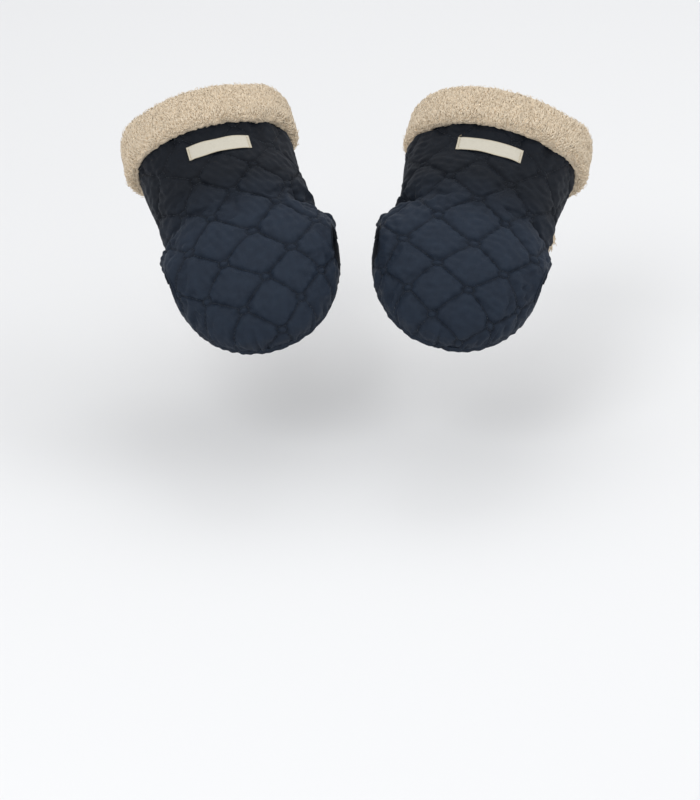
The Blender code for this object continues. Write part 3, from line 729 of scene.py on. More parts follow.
def settle(grid, held, name):
    """How far each point of a grid moves when the cloth between the held points swells."""
    points = grid.reshape(-1, 3)
    key = np.round(points / merge_step).astype(int)
    _, first, back = np.unique(key, axis=0, return_index=True, return_inverse=True)
    back = back.ravel()
    faces = [list(dict.fromkeys(cell)) for cell in back[grid_faces(*grid.shape[:2])].tolist()]
    pinned = np.zeros(len(first), bool)
    np.logical_or.at(pinned, back, held.ravel())
    mesh = bpy.data.meshes.new(name)
    mesh.from_pydata(points[first].tolist(), [], [f for f in faces if len(f) > 2])
    cloth = bpy.data.objects.new(name, mesh)
    bpy.context.scene.collection.objects.link(cloth)
    group = cloth.vertex_groups.new(name="stitched")
    group.add(np.flatnonzero(pinned).tolist(), 1.0, "REPLACE")
    step = cloth.modifiers.new("cloth", "CLOTH")
    step.settings.quality = 4
    step.settings.mass = 0.3
    step.settings.tension_stiffness = step.settings.compression_stiffness = 5.0
    step.settings.shear_stiffness = 3.0
    step.settings.bending_stiffness = 0.12
    step.settings.shrink_min = -spare_cloth
    step.settings.use_pressure = True
    step.settings.uniform_pressure_force = lift_pressure
    step.settings.vertex_group_mass = group.name
    step.settings.effector_weights.gravity = 0.0
    step.collision_settings.use_collision = False
    step.point_cache.frame_end = settle_frames
    for number in range(1, settle_frames + 1):
        bpy.context.scene.frame_set(number)
    settled = cloth.evaluated_get(bpy.context.evaluated_depsgraph_get())
    moved = np.zeros(len(first) * 3, np.float32)
    settled.data.vertices.foreach_get("co", moved)
    bpy.data.objects.remove(cloth)
    bpy.context.scene.frame_set(1)
    offset = moved.reshape(-1, 3) - points[first]
    return offset[back].reshape(grid.shape)


def finer(offset):
    """An offset known at every second point of a grid, filled in between."""
    rows, columns = offset.shape[0] * 2 - 1, offset.shape[1] * 2 - 1
    full = np.zeros((rows, columns, 3))
    full[::2, ::2] = offset
    full[1::2, ::2] = (offset[1:] + offset[:-1]) / 2
    full[:, 1::2] = (full[:, 2::2] + full[:, :-2:2]) / 2
    blurred = full.copy()
    blurred[1:-1] += blur_share * (full[2:] + full[:-2] - 2 * full[1:-1])
    smooth = blurred.copy()
    smooth[:, 1:-1] += blur_share * (blurred[:, 2:] + blurred[:, :-2] - 2 * blurred[:, 1:-1])
    return smooth


def swell(grid, normals, line, strength, name):
    held = line[::2, ::2] < held_reach
    held[0], held[-1] = True, True
    held[:, :held_columns], held[:, -held_columns:] = True, True
    offset = finer(settle(grid[::2, ::2], held, name))
    lift = (offset * normals).sum(-1)
    slip = offset - normals * lift[..., None]
    flatter = flat_lift * np.tanh(lift / (lift_bend * flat_lift))
    capped = np.maximum(flatter, -deepest_sink) + crease_depth * (1 - np.exp(-line / crease_reach))
    return (normals * capped[..., None] + slip * kept_slip) * strength[..., None]


print("simulation", "ready")

# %% [markdown]
# ## The side arches
# Both sides of the top panel have an arch. Cutting a dense mesh with a Boolean leaves ragged slivers.
# Here the cells inside the arch are left out instead, and the points round its edge slide along the
# cloth to the exact line.

# %% Cutting the arches
side_radii = 2


def arch_gap(y, z, wider=0.0):
    """How far a place is outside the arch: below the middle of its round it has straight sides."""
    return np.where(z < 0, np.abs(y), np.hypot(y, z)) - passage_radius - wider


def dome_side(y, z, inset, end):
    """How far out a side of the top panel is, at a place seen from that side; end is 1 or -1."""
    _, width, height = panel_size(y, inset)
    power = squareness(y)
    up = (np.abs(z - lip_z - seam_gap / 2) / height).clip(0, 1) ** power
    x = end * width * (1 - up) ** (1 / power)
    return x + side_shift(x, y, z, width)


def open_passages(grid, inset, wider=0.0):
    """The grid with its points drawn clear of the arches, and which of its cells stay."""
    grid = grid.copy()
    radius = passage_radius + wider
    x, y, z = np.moveaxis(grid, -1, 0)
    centre = (grid[:-1, :-1] + grid[1:, :-1] + grid[1:, 1:] + grid[:-1, 1:]) / 4
    in_arch = arch_gap(centre[..., 1], centre[..., 2], wider) < 0
    keep = ~(in_arch & (np.abs(centre[..., 0]) > radius * side_radii))
    inside = (arch_gap(y, z, wider) < 0) & (np.abs(x) > radius * side_radii)
    used = np.zeros(x.shape, bool)
    for rows in (slice(None, -1), slice(1, None)):
        for columns in (slice(None, -1), slice(1, None)):
            used[rows, columns] |= keep
    move = inside & used
    ratio = radius / np.maximum(np.hypot(y, z), 1e-6)
    new_y = np.where(z < 0, np.sign(y) * radius, y * ratio)
    new_z = np.where(z < 0, z, z * ratio)
    new_x = dome_side(new_y, new_z, inset, np.sign(x))
    grid[move] = np.stack([new_x, new_y, new_z], -1)[move]
    return grid, keep


opened, kept_cells = open_passages(top_grid, shell_at)
print("cells cut out for both arches:", int((~kept_cells).sum()))

# %% [markdown]
# ## The quilted top panel
# The simulated swelling is laid on the smooth surface, and the small things a sewing machine leaves are
# added: the pull of each stitch line, tucks round the closed end where the panel was eased to the
# seam, gathers at the waist, and soft folds under the cuff where the quilting runs flat.

# %% Sewing marks on the top panel
label_top, label_bottom = band_from_arch - 18.0 * MM, band_from_arch - 34.5 * MM
label_left, label_right = -35.5 * MM, 28.5 * MM
label_shift = {"left": 4.0 * MM, "right": 3.6 * MM}
cotton_thickness = 0.9 * MM
tuck_places = {
    "left": (-0.62, -0.47, -0.30, -0.12, 0.16, 0.34, 0.49, 0.60),
    "right": (-0.58, -0.42, -0.22, 0.02, 0.21, 0.38, 0.54, 0.66),
}
tuck_folds = ((0.0, 0.010, 1.0), (0.024, 0.016, -0.8), (-0.03, 0.02, -0.3))
tuck_depth, tuck_length, tuck_length_change, tuck_slant = 2.6 * MM, 11.0 * MM, 6.0 * MM, 1.6
gather_places = np.array((38.0, 46.0, 53.0, 60.0, 68.0)) * MM
gather_height, gather_width, gather_slant = 2.9 * MM, 2.8 * MM, 0.15
gather_above_lip, gather_reach, outer_gather_height_share = 10.0 * MM, 20.0 * MM, 0.45
pull_depth, pull_reach = 0.75 * MM, 1.5 * MM
lip_pull, tip_pull, lip_pull_reach = 0.4 * MM, 1.5 * MM, 9.0 * MM
fold_start, fold_full = 85.0 * MM, 140.0 * MM
fold_height, fold_bump, fold_shape = 0.75 * MM, 9.0 * MM, np.array((1.0, 0.28))
ripple_height, ripple_bump = 0.30 * MM, 5.0 * MM
deepest_mark = 2.6 * MM
flatter_start, flatter_full, lip_flat_height = 84.0 * MM, 116.0 * MM, 20.0 * MM


def label_area(x, y, margin, side):
    """1 where the label lies, falling to 0 over a margin round it."""
    x = x - label_shift[side]
    out_x = np.maximum(np.maximum(label_left - x, x - label_right), 0)
    out_y = np.maximum(np.maximum(label_bottom - y, y - label_top), 0)
    return np.exp(-((out_x**2 + out_y**2) / margin**2))


def top_marks(grid, flat, line, side):
    """Height of the sewing marks along the cloth's own direction out."""
    x, y, z = np.moveaxis(grid, -1, 0)
    above_lip = z - lip_z
    rise = -pull_depth * bell(line, pull_reach)
    tip = np.clip((widest_from_arch - y) / lobe_length, 0, 1)
    rise -= (lip_pull + tip_pull * smooth_step(tip, 0.2, 0.8)) * bell(above_lip, lip_pull_reach)
    lip_share = np.linspace(1, -1, grid.shape[1])[None, :]
    for number, middle in enumerate(tuck_places[side]):
        long = tuck_length + tuck_length_change * math.sin(3.1 * number + side_seed[side])
        bent = lip_share - middle - tuck_slant * above_lip * math.sin(5.3 * number)
        fold = sum(height * bell(bent - at, wide) for at, wide, height in tuck_folds)
        rise -= tuck_depth * fold * bell(above_lip - 2 * MM, long) * smooth_step(tip, 0.2, 0.5)
    inner = np.where(x > 0, 1.0, outer_gather_height_share)
    for number, middle in enumerate(gather_places):
        bent = y - middle - gather_slant * above_lip * math.sin(number * 2.0)
        gather = bell(bent, gather_width) * bell(above_lip - gather_above_lip, gather_reach)
        rise += gather_height * inner * gather
    soft = smooth_step(y, fold_start, fold_full)
    folds = waves(flat * fold_shape, fold_bump, 21 + side_seed[side])
    rise += fold_height * soft * folds * (1 - label_area(x, y, 6 * MM, side))
    ripples = waves(flat, ripple_bump, 31 + side_seed[side])
    rise += ripple_height * ripples * (1 - label_area(x, y, 3 * MM, side))
    return np.maximum(rise, -deepest_mark) * (1 - 0.8 * near_arch(x, y, z, 3 * MM))


def near_arch(x, y, z, reach):
    """1 at the edge of a side arch, falling to 0 away from it."""
    return bell(np.maximum(arch_gap(y, z), 0), reach) * (np.abs(x) > passage_radius * side_radii)


def loft(x, y, z, side):
    """How much of the swelling shows: less near the cuff and at the lip, hardly any under the label."""
    at_cuff = 1 - 0.62 * smooth_step(y, flatter_start, flatter_full)
    at_lip = 0.35 + 0.65 * smooth_step(z, lip_z, lip_z + lip_flat_height)
    at_label = 1 - 0.9 * label_area(x, y, 5 * MM, side)
    return at_cuff * at_lip * at_label * (1 - 0.85 * near_arch(x, y, z, 5 * MM))


print("tucks on each closed end:", len(tuck_places["left"]))

# %% The top panels
def finish_piece(made, finish, body=None, stands_for=()):
    """Give a piece its material and its body, and hide the solids that it stands for."""
    made.data.materials.append(finish)
    if body:
        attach(made, body)
    if stands_for:
        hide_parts(*stands_for)
    return made


stitch_shade_reach, full_height = 0.9 * MM, 5.0 * MM


def quilted_sheet(name, side, smooth, swollen, normals, flat, line, above, keep=None):
    """Quilted cotton, kept to its own side of the lip: above is 1 for the top and -1 for the underside."""
    limited = np.maximum if above > 0 else np.minimum
    limit = lip_z + above * seam_gap / 2
    outer = swollen.copy()
    outer[..., 2] = limited(outer[..., 2], limit)
    inner = outer - normals * cotton_thickness
    inner[..., 2] = limited(inner[..., 2], limit)
    height = ((outer - smooth) * normals).sum(-1)
    # The marks carry the painted shade along the stitch lines, and the raised share that sets the painted
    # highlight
    marks = {
        "flat_place": np.concatenate([flat, 0 * flat[..., :1]], -1).reshape(-1, 3),
        "painted_shade": bell(line, stitch_shade_reach).ravel(),
        "raised_cloth": np.clip(height / full_height, 0, 1).ravel(),
    }
    reverse = (side == "right") == (above > 0)
    cloth = sheet_piece(side + name, to_row(outer, side), to_row(inner, side), keep, marks, reverse)
    highest = round(float(height.max()) / MM, 1)
    print(cloth.name, len(cloth.data.polygons), "faces, swells up to", highest, "mm")
    return cloth, outer


top_faces = {}
for side in ("left", "right"):
    line = stitch_distance(top_flat, side)
    normals = unit_normals(top_grid)
    strength = loft(*np.moveaxis(top_grid, -1, 0), side)
    moved = swell(top_grid, normals, line, strength, side + "_settling")
    marks = top_marks(top_grid, top_flat, line, side)
    smooth, keep = open_passages(top_grid, shell_at)
    swollen = smooth + moved + normals * marks[..., None]
    cloth, top_faces[side] = quilted_sheet(
        "_top_cloth", side, smooth, swollen, normals, top_flat, line, 1, keep
    )
    finish_piece(cloth, navy_cotton, side + "_muff", (side + "_top_shell",))

# %% [markdown]
# ## The flap and the palm panel
# The underside is one quilted cloth, made as one mesh that turns smoothly from the muff's body to
# the flap's, with no gap at the hinge.

# %% The undersides
under_start = np.array((14.0, 9.0)) * MM
under_flatter_start, under_flatter_full = 95.0 * MM, 140.0 * MM
unpadded_depth, padded_depth = 3.0 * MM, 14.0 * MM
hinge_flat_reach, hinge_crease, hinge_crease_reach = 12.0 * MM, 0.9 * MM, 2.2 * MM
under_pull_depth, seam_pull, seam_pull_reach = 4.0 * MM, 1.9 * MM, 5.0 * MM
under_ripple_height, under_ripple_bump = 0.35 * MM, 6.0 * MM
fold_reach = 8.0 * MM
for side in ("left", "right"):
    flat = under_flat(under_grid) + under_start
    line = stitch_distance(flat, side)
    normals = -unit_normals(under_grid)
    from_hinge = under_grid[..., 1] - hinge_from_arch
    below = lip_z - under_grid[..., 2]
    strength = 0.62 - 0.4 * bell(from_hinge, hinge_flat_reach)
    strength -= 0.25 * smooth_step(under_grid[..., 1], under_flatter_start, under_flatter_full)
    strength *= smooth_step(below, unpadded_depth, padded_depth)
    moved = swell(under_grid, normals, line, strength, side + "_under_settling")
    marks = -pull_depth * bell(line, pull_reach) * smooth_step(below, 0, under_pull_depth)
    marks -= seam_pull * bell(below, seam_pull_reach) + hinge_crease * bell(from_hinge, hinge_crease_reach)
    marks += under_ripple_height * waves(flat, under_ripple_bump, 51 + side_seed[side])
    swollen = under_grid + moved + normals * marks[..., None]
    cloth, _ = quilted_sheet("_under_cloth", side, under_grid, swollen, normals, flat, line, -1)
    finish_piece(cloth, navy_cotton, None, (side + "_flap_shell", side + "_palm_shell"))
    fold_ends = [(0, hinge_from_arch + step, lip_z - flap_depth) for step in (fold_reach, -fold_reach)]
    on_muff, on_flap = (tuple(to_row(end, side)) for end in fold_ends)
    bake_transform(cloth)

# %% [markdown]
# ## Wadding and pile lining
# Inside the cotton there is a layer of wadding and then the pile that the hands feel. Neither shows
# while the muff is closed, but when the flap hangs open the pile does, and it shows in the mouth. Each is
# a thick layer between two of the same surfaces. The pile's inner face is covered with small bumps. Its
# cut edge flares out to the cotton at the lip, and so it hides the wadding, which stops short of it.

# %% The inner layers
fill_start, fill_end = wadding_at + 2.2 * MM, lining_at - 0.2 * MM
by_shell, flare_reach = shell_at + 3.9 * MM, 3.0 * MM
fill_back, pile_back, flap_pile_back, back_reach = 4.2 * MM, 0.5 * MM, 0.4 * MM, 5.0 * MM
pile_past_arch, fill_past_arch = 0.6 * MM, 3.5 * MM
lining_bump, lining_bump_height, still_reach = 3.4 * MM, 1.0 * MM, 0.8 * MM


def pile_bumps(grid, normals, height, seed, bump):
    """A surface with rounded clumps: the ridges between them are what the eye reads as curls."""
    first = np.abs(waves(grid, bump, seed)) ** 0.7
    second = np.abs(waves(grid, bump * 0.55, seed + 1)) ** 0.8
    return grid + normals * ((first * 0.7 + second * 0.35 - 0.45) * height)[..., None]


def even_pile(count, height, shade):
    """Marks for the pile finish that are the same at every point."""
    return {"pile_height": np.full(count, height), "curl_shade": np.full(count, shade)}


def part_grids(part, insets, fine):
    """The surfaces of one part of a muff at several insets; flap and palm end at the hinge line."""
    if part == "top":
        return [top_surface(inset, fine[0], fine[1], fine[3]) for inset in insets]
    hinge_row = fine[1] + fine[2]
    rows, edge, aside = slice(hinge_row, None), 0, 1
    if part == "flap":
        rows, edge, aside = slice(None, hinge_row + 1), -1, -1
    grids = [under_surface(inset, fine[0], fine[1:])[rows] for inset in insets]
    for grid in grids:
        grid[edge, :, 1] += seam_gap / 2 * aside
    return grids


def inner_layer(side, part, outer_at, inner_at, finish, fine, pile=False):
    """The pile or the wadding of one part of a muff: top, palm or flap."""
    outer, inner, flare = part_grids(part, (outer_at, inner_at, by_shell), fine)
    keep = None
    turned = 1 if part == "top" else -1
    outer_back, inner_back = fill_back, fill_back
    if pile:
        flared = bell(outer[..., 2:] - lip_z, flare_reach)
        outer = outer * (1 - flared) + flare * flared
        outer_back, inner_back = pile_back, flap_pile_back if part == "flap" else -seam_gap / 2
    for grid, back in ((outer, outer_back), (inner, inner_back)):
        grid[..., 2] += turned * back * bell(grid[..., 2] - lip_z, back_reach)
    if part == "top":
        wider = pile_past_arch if pile else fill_past_arch
        outer, keep = open_passages(outer, outer_at, wider)
        inner, keep_inner = open_passages(inner, inner_at, wider)
        keep &= keep_inner
    if pile:
        inward = -turned * unit_normals(inner)
        still = 0.6 * bell(inner[..., 2:] - lip_z, still_reach)
        seed = 61 + side_seed[side] + len(part)
        bumpy = pile_bumps(inner, inward, lining_bump_height, seed, lining_bump)
        inner = bumpy * (1 - still) + inner * still
    made = sheet_piece(
        side + "_" + part + ("_pile" if pile else "_fill"),
        to_row(outer, side),
        to_row(inner, side),
        keep,
        even_pile(outer[..., 0].size, 0.45, 0.4),
        (side == "right") != (part != "top"),
    )
    body = side + ("_flap" if part == "flap" else "_muff")
    node = side + "_" + part + ("_lining" if pile else "_wadding")
    finish_piece(made, finish, body, (node,))
    return made


fill_rows, pile_rows = (96, 48, 12, 60), (150, 90, 24, 112)
for side in ("left", "right"):
    for part in ("top", "palm", "flap"):
        inner_layer(side, part, fill_start, fill_end, white_fill, fill_rows)
        made = inner_layer(side, part, lining_at, inside_at, lining_pile, pile_rows, True)
        print(made.name, len(made.data.polygons), "faces")

# %% [markdown]
# ## The turned-out cuff
# The lining's pile turns out over the mouth as a thick band. Its base is a ring: a rounded outline swept
# round the mouth. That alone would look like a foam tyre, so the next step plants pile on it.

# %% The cuff's base
band_out, band_corner, rim_round = 10.8 * MM, 4.2 * MM, 2.6 * MM
rim_middle, rim_inner_corner, rim_depth = 1.5 * MM, 4.0 * MM, 5.3 * MM
band_start, band_middle, band_end = 155.2 * MM, 171.0 * MM, 186.5 * MM
behind_band = (162.0 * MM, 174.0 * MM)
cuff_outline = np.array(
    [
        (-seam_gap, band_from_arch),
        (band_corner - band_out, band_from_arch - seam_gap),
        (-band_out, band_start),
        (-band_out, band_middle),
        (-band_out, band_end),
        (band_corner - band_out, rim_from_arch - rim_round),
        (rim_middle, rim_from_arch),
        (inside_at - rim_inner_corner, rim_from_arch - rim_round),
        (inside_at, rim_from_arch - rim_depth),
        (inside_at, cloth_end + seam_gap),
        ((inside_at - seam_gap) / 2, cloth_end + seam_gap),
        (-seam_gap, cloth_end + seam_gap),
        (-seam_gap, behind_band[1]),
        (-seam_gap, behind_band[0]),
    ]
)
round_steps, outline_steps = 300, 72
band_bump, band_bump_height = 4.0 * MM, 1.3 * MM
pressed_share, pressed_full = 0.55, 0.55


def mouth_loop(turn, inset, y):
    """Points round the mouth at an inset, over the top first and then back underneath."""
    rise = np.where(np.sin(turn) >= 0, crown(y), depth(y)) - inset
    x = lean(y) + (half_width(y) - inset) * rounded(turn)
    return np.stack([x, y + 0 * x, lip_z + np.sign(np.sin(turn)) * rise * raised(turn)], -1)


def loop_turns(count):
    """Angles round the mouth that cut its outline evenly, over the top and then underneath."""
    top = even_turns(mouth_half_width, mouth_crown, outline_power, count // 2)
    below = even_turns(mouth_half_width, mouth_depth, outline_power, count // 2)
    return np.concatenate([top[:-1], math.pi + below[:-1]])


def cuff_rings():
    """The cuff's outline, cut evenly and rounded, swept round the mouth; it lies flatter underneath."""
    closed = np.vstack([cuff_outline, cuff_outline[:1]])
    walked = np.concatenate([[0], np.cumsum(np.linalg.norm(np.diff(closed, axis=0), axis=1))])
    at = np.linspace(0, walked[-1], outline_steps, endpoint=False)
    inset, y = (np.interp(at, walked, closed[:, k]) for k in (0, 1))
    for _ in range(3):
        inset = (np.roll(inset, 1) + 2 * inset + np.roll(inset, -1)) / 4
        y = (np.roll(y, 1) + 2 * y + np.roll(y, -1)) / 4
    turn = loop_turns(round_steps)[:, None]
    pressed = 1 - pressed_share * smooth_step(-np.sin(turn), 0.0, pressed_full)
    return mouth_loop(turn, np.where(inset < 0, inset * pressed, inset + 0 * turn), y[None, :])


def ring_normals(grid):
    """The direction out of a grid that closes on itself both ways."""
    down = np.roll(grid, -1, 0) - np.roll(grid, 1, 0)
    right = np.roll(grid, -1, 1) - np.roll(grid, 1, 1)
    out = np.cross(down, right)
    return out / np.maximum(np.linalg.norm(out, axis=-1, keepdims=True), 1e-12)


def ring_faces(rows, columns):
    """The cells of a grid that closes on itself both ways."""
    corner = np.arange(rows * columns).reshape(rows, columns)
    after, beside = np.roll(corner, -1, 0), np.roll(corner, -1, 1)
    return np.stack([corner, after, np.roll(after, -1, 1), beside], -1).reshape(-1, 4)


cuff_base = cuff_rings()
cuff_out = ring_normals(cuff_base)
middle_of_band = cuff_base.mean(1, keepdims=True)
if ((cuff_base - middle_of_band) * cuff_out).sum() < 0:
    cuff_out = -cuff_out
along_ring, across_ring = (np.roll(cuff_base, -1, axis) - cuff_base for axis in (0, 1))
cuff_flipped = bool((np.cross(along_ring, across_ring) * cuff_out).sum() < 0)
for side in ("left", "right"):
    bumps = pile_bumps(cuff_base, cuff_out, band_bump_height, 71 + side_seed[side], band_bump)
    faces = ring_faces(round_steps, outline_steps)
    if cuff_flipped != (side == "right"):
        faces = faces[:, ::-1]
    marks = even_pile(bumps[..., 0].size, 0.55, 0.5)
    made = mesh_piece(side + "_cuff_base", to_row(bumps, side).reshape(-1, 3), faces, marks)
    finish_piece(made, cream_pile, side + "_muff", (side + "_cuff_band",))
    print(made.name, len(made.data.polygons), "faces")

# %% [markdown]
# ## Planting the curls
# Each curl is a short tapered tube on a corkscrew path, rooted on the base, leaning the way that the
# fleece was brushed. All the curls of a piece are worked out at once as arrays, one row per curl. They
# are spread by area, so that no patch is bare.

# %% One curl, many times
curl_steps, curl_sides = 6, 4


def spread_roots(grid, out, wanted, count, seed):
    """Root points and directions out, spread evenly by area over the wanted cells of a ring grid."""
    rng = np.random.default_rng(seed)
    right, down = np.roll(grid, -1, 1), np.roll(grid, -1, 0)
    both = np.roll(right, -1, 0)
    area = np.linalg.norm(np.cross(both - grid, right - down), axis=-1) / 2 * wanted
    reached = np.cumsum(area.ravel())
    picks = (np.arange(count) + rng.random(count)) / count * reached[-1]
    cell = np.searchsorted(reached, picks).clip(0, reached.size - 1)
    u, v = rng.random((2, count, 1))
    corners = [part.reshape(-1, 3)[cell] for part in (grid, down, right, both)]
    near, far = corners[0] * (1 - u) + corners[1] * u, corners[2] * (1 - u) + corners[3] * u
    return near * (1 - v) + far * v, out.reshape(-1, 3)[cell]


def curl_points(place, out, brushed, size, seed, loose):
    """The path of every curl: out of the base, round in a small corkscrew and along the brushing."""
    rng = np.random.default_rng(seed)
    count = len(place)
    along = brushed - out * (brushed * out).sum(-1, keepdims=True)
    along /= np.maximum(np.linalg.norm(along, axis=-1, keepdims=True), 1e-9)
    across = np.cross(out, along)
    turn = rng.uniform(0, 2 * math.pi, (count, 1))
    twist = rng.choice((-1.0, 1.0), (count, 1)) * rng.uniform(1.6, 3.6, (count, 1))
    reach = size * rng.uniform(0.65, 1.2, (count, 1))
    share = np.linspace(0, 1, curl_steps)[None, :]
    radius = 0.24 * loose * reach * (0.35 + 0.65 * share)
    lift = reach * (0.52 * np.sin(share * rng.uniform(1.6, 2.5, (count, 1))) - 0.10)
    swing = reach * rng.normal(0.85, 0.22, (count, 1)) * share
    aside = reach * rng.normal(0.0, 0.22, (count, 1)) * loose * share
    first = swing + radius * (np.cos(turn + twist * share) - np.cos(turn))
    second = aside + radius * (np.sin(turn + twist * share) - np.sin(turn))
    path = place[:, None] + out[:, None] * lift[..., None]
    return path + along[:, None] * first[..., None] + across[:, None] * second[..., None]


def tubes(name, paths, widths, marks, sides):
    """One mesh of many tubes of one step count; marks gives named values for each tube's steps."""
    count, steps = paths.shape[:2]
    ahead = np.gradient(paths, axis=1)
    ahead /= np.maximum(np.linalg.norm(ahead, axis=-1, keepdims=True), 1e-12)
    helper = np.where(np.abs(ahead[..., 2:]) > 0.8, np.array((1.0, 0.0, 0.0)), np.array((0.0, 0.0, 1.0)))
    aside = np.cross(ahead, helper)
    aside /= np.maximum(np.linalg.norm(aside, axis=-1, keepdims=True), 1e-12)
    above = np.cross(ahead, aside)
    turn = np.arange(sides) * 2 * math.pi / sides
    ring = aside[:, :, None] * np.cos(turn)[:, None] + above[:, :, None] * np.sin(turn)[:, None]
    points = paths[:, :, None] + ring * widths[..., None, None]
    index = np.arange(count * steps * sides).reshape(count, steps, sides)
    after = np.roll(index, -1, 2)
    walls = np.stack([index[:, :-1], index[:, 1:], after[:, 1:], after[:, :-1]], -1).reshape(-1, 4)
    ends = np.concatenate([index[:, 0], index[:, -1, ::-1]])
    fans = [ends[:, [0, k, k + 1]] for k in range(1, sides - 1)]
    faces = np.concatenate([walls[:, [0, 1, 2]], walls[:, [0, 2, 3]]] + fans)
    spread = {}
    for key, values in marks.items():
        spread[key] = np.repeat(np.broadcast_to(values, (count, steps)).ravel(), sides)
    return mesh_piece(name, points.reshape(-1, 3), faces, spread)


print("one curl has", (curl_steps - 1) * curl_sides * 2 + 2 * (curl_sides - 2), "faces")

# %% The curls of both cuffs
def plant(name, side, place, out, brushed, size, width, seed, loose=1.0):
    """A piece made of curls; their roots lie in the base, and their tips get the lighter tone."""
    paths = to_row(curl_points(place, out, brushed, size, seed, loose), side)
    rng = np.random.default_rng(seed + 1)
    share = np.linspace(0, 1, curl_steps)[None, :]
    plump = 0.45 + 0.75 * np.sin(math.pi * (0.12 + 0.80 * share)) - 0.25 * share
    widths = width * plump * rng.uniform(0.75, 1.25, (len(place), 1))
    marks = {"pile_height": 0.25 + 0.75 * share, "curl_shade": rng.random((len(place), 1))}
    made = tubes(name, paths, widths, marks, curl_sides)
    finish_piece(made, cream_pile, side + "_muff")
    return made


def grow(name, side, wanted, root_seed, sunk, brush, size, width, loose=1.0):
    """One layer of curls on a cuff; brush gives the way that each curl is brushed from its way out."""
    place, out = spread_roots(cuff_base, cuff_out, wanted, curl_count, root_seed + side_seed[side])
    root, brushed = place - out * sunk, brush(out)
    made = plant(side + name, side, root, out, brushed, size, width, root_seed + 2, loose=loose)
    print(made.name, len(made.data.polygons), "faces")


def towards_rim(out):
    """Curls on the band are brushed straight towards the rim."""
    return to_mouth + 0 * out


def away_from_band(out):
    """The few long hairs stand up as much as they lean towards the rim."""
    return to_mouth + out


def over_the_rim(out):
    """Curls on the rim are brushed up over it, and those on its inner side back into the mouth."""
    return np.where(out[:, 1:2] > 0.2, out * (0, 0, 1.0) + to_mouth * 0.4, to_mouth * -1.0)


curl_count = 4300
rim_start, lining_reach = 186.0 * MM, 8.0 * MM
short_start, short_share = 153.0 * MM, 0.5
band_curl_length = {"left": 4.3 * MM, "right": 4.6 * MM}
rim_curl_length, hair_length = 3.7 * MM, 4.0 * MM
to_mouth = np.array((0.0, 1.0, 0.0))
band_turn = loop_turns(round_steps)[:, None]
outward = (cuff_base - mouth_loop(band_turn, lining_reach, cuff_base[..., 1])) * cuff_out
outer_face = (outward.sum(-1) > 0) & (cuff_base[..., 1] < rim_start)
rim_face = cuff_base[..., 1] >= rim_start
for side in ("left", "right"):
    # The curls get shorter towards the seam; both layers are spread in one order, so one list serves both
    roots = spread_roots(cuff_base, cuff_out, outer_face, curl_count, 81 + side_seed[side])[0]
    at_seam = smooth_step(roots[:, 1:2], short_start, band_from_arch)
    long = band_curl_length[side] * (1 - short_share * at_seam)
    grow("_cuff_curls", side, outer_face, 81, 0.5 * MM, towards_rim, long, 1.02 * MM, 0.5)
    grow("_fine_curls", side, outer_face, 85, 0.3 * MM, towards_rim, long * 0.9, 0.7 * MM, 0.9)
    grow("_rim_curls", side, rim_face, 91, 0.45 * MM, over_the_rim, rim_curl_length, 0.9 * MM)
    whole_cuff = outer_face | rim_face
    grow("_cuff_hairs", side, whole_cuff, 97, -0.6 * MM, away_from_band, hair_length, 0.3 * MM, 2.2)

# %% [markdown]
# ## Pile at the side arches
# Where the panel is cut away, the lining's pile peeps out past the cotton. On the right muff a tuft of it
# pushes out of the outer side seam.

# %% Fringe and tuft
fringe_count, fringe_inset, fringe_length = 700, lining_at + 1.2 * MM, 2.3 * MM
thin_curl = 0.5 * MM
for side in ("left", "right"):
    rng = np.random.default_rng(101 + side_seed[side])
    turn = rng.uniform(0, math.pi, fringe_count)
    ends = rng.choice((-1.0, 1.0), fringe_count)
    radius = passage_radius + rng.uniform(0.2, 1.2, fringe_count) * MM
    y, z = radius * np.cos(turn), radius * np.sin(turn)
    x = dome_side(y, z, fringe_inset, ends)
    out = np.stack([0.3 * ends, -np.cos(turn) * 0.5, -np.sin(turn) * 0.5], -1)
    out /= np.linalg.norm(out, axis=-1, keepdims=True)
    fringe = np.stack([x, y, z], -1)
    brushed = np.stack([0.4 * ends, 0 * y, 0 * z], -1)
    made = plant(side + "_fringe", side, fringe, out, brushed, fringe_length, thin_curl, 103)
    print(made.name, len(made.data.polygons), "faces")

tuft_count, tuft_from_arch, tuft_inset, tuft_reach = 900, 75.0 * MM, 1.2 * MM, 8.0 * MM
tuft_spread_in_mm = ((6.5, 12.0), (2.4, 5.0))
tuft_shortest, tuft_longer = 2.4 * MM, 3.4 * MM
rng = np.random.default_rng(111)
strewn = [rng.normal(0, usual, tuft_count).clip(-most, most) * MM for usual, most in tuft_spread_in_mm]
y, z = tuft_from_arch + strewn[0], lip_z + strewn[1]
tuft_place = np.stack([lean(y) - half_width(y) + tuft_inset, y, z], -1)
tuft_out = np.stack([-1.0 + 0 * y, 0 * y, strewn[1] / tuft_reach], -1)
tuft_out /= np.linalg.norm(tuft_out, axis=-1, keepdims=True)
tuft_size = (tuft_shortest + tuft_longer * bell(strewn[0], tuft_reach))[:, None]
hanging = tuft_out * 0 + (0, 0.3, -1.0)
tuft = plant(
    "right_side_tuft", "right", tuft_place, tuft_out, hanging, tuft_size, thin_curl, 113, 1.3
)
print(tuft.name, len(tuft.data.polygons), "faces")

# %% [markdown]
# ## The stitches
# A drawn line would not catch the light as thread does, so every stitch is a short tube. The lattice says
# where it lies on the flat cloth. To find that place on the swollen panel, its row and column in the
# panel's grid are worked out, and the four grid points round it are mixed.

# %% From a flat place to the sewn panel
row_swings = even_turns(lobe_length, lobe_crown, outline_power, dome_rows, math.pi / 2)
column_turns = even_turns(lobe_half_width, lobe_crown, outline_power, top_across)
tip_margin = 1.0 * MM


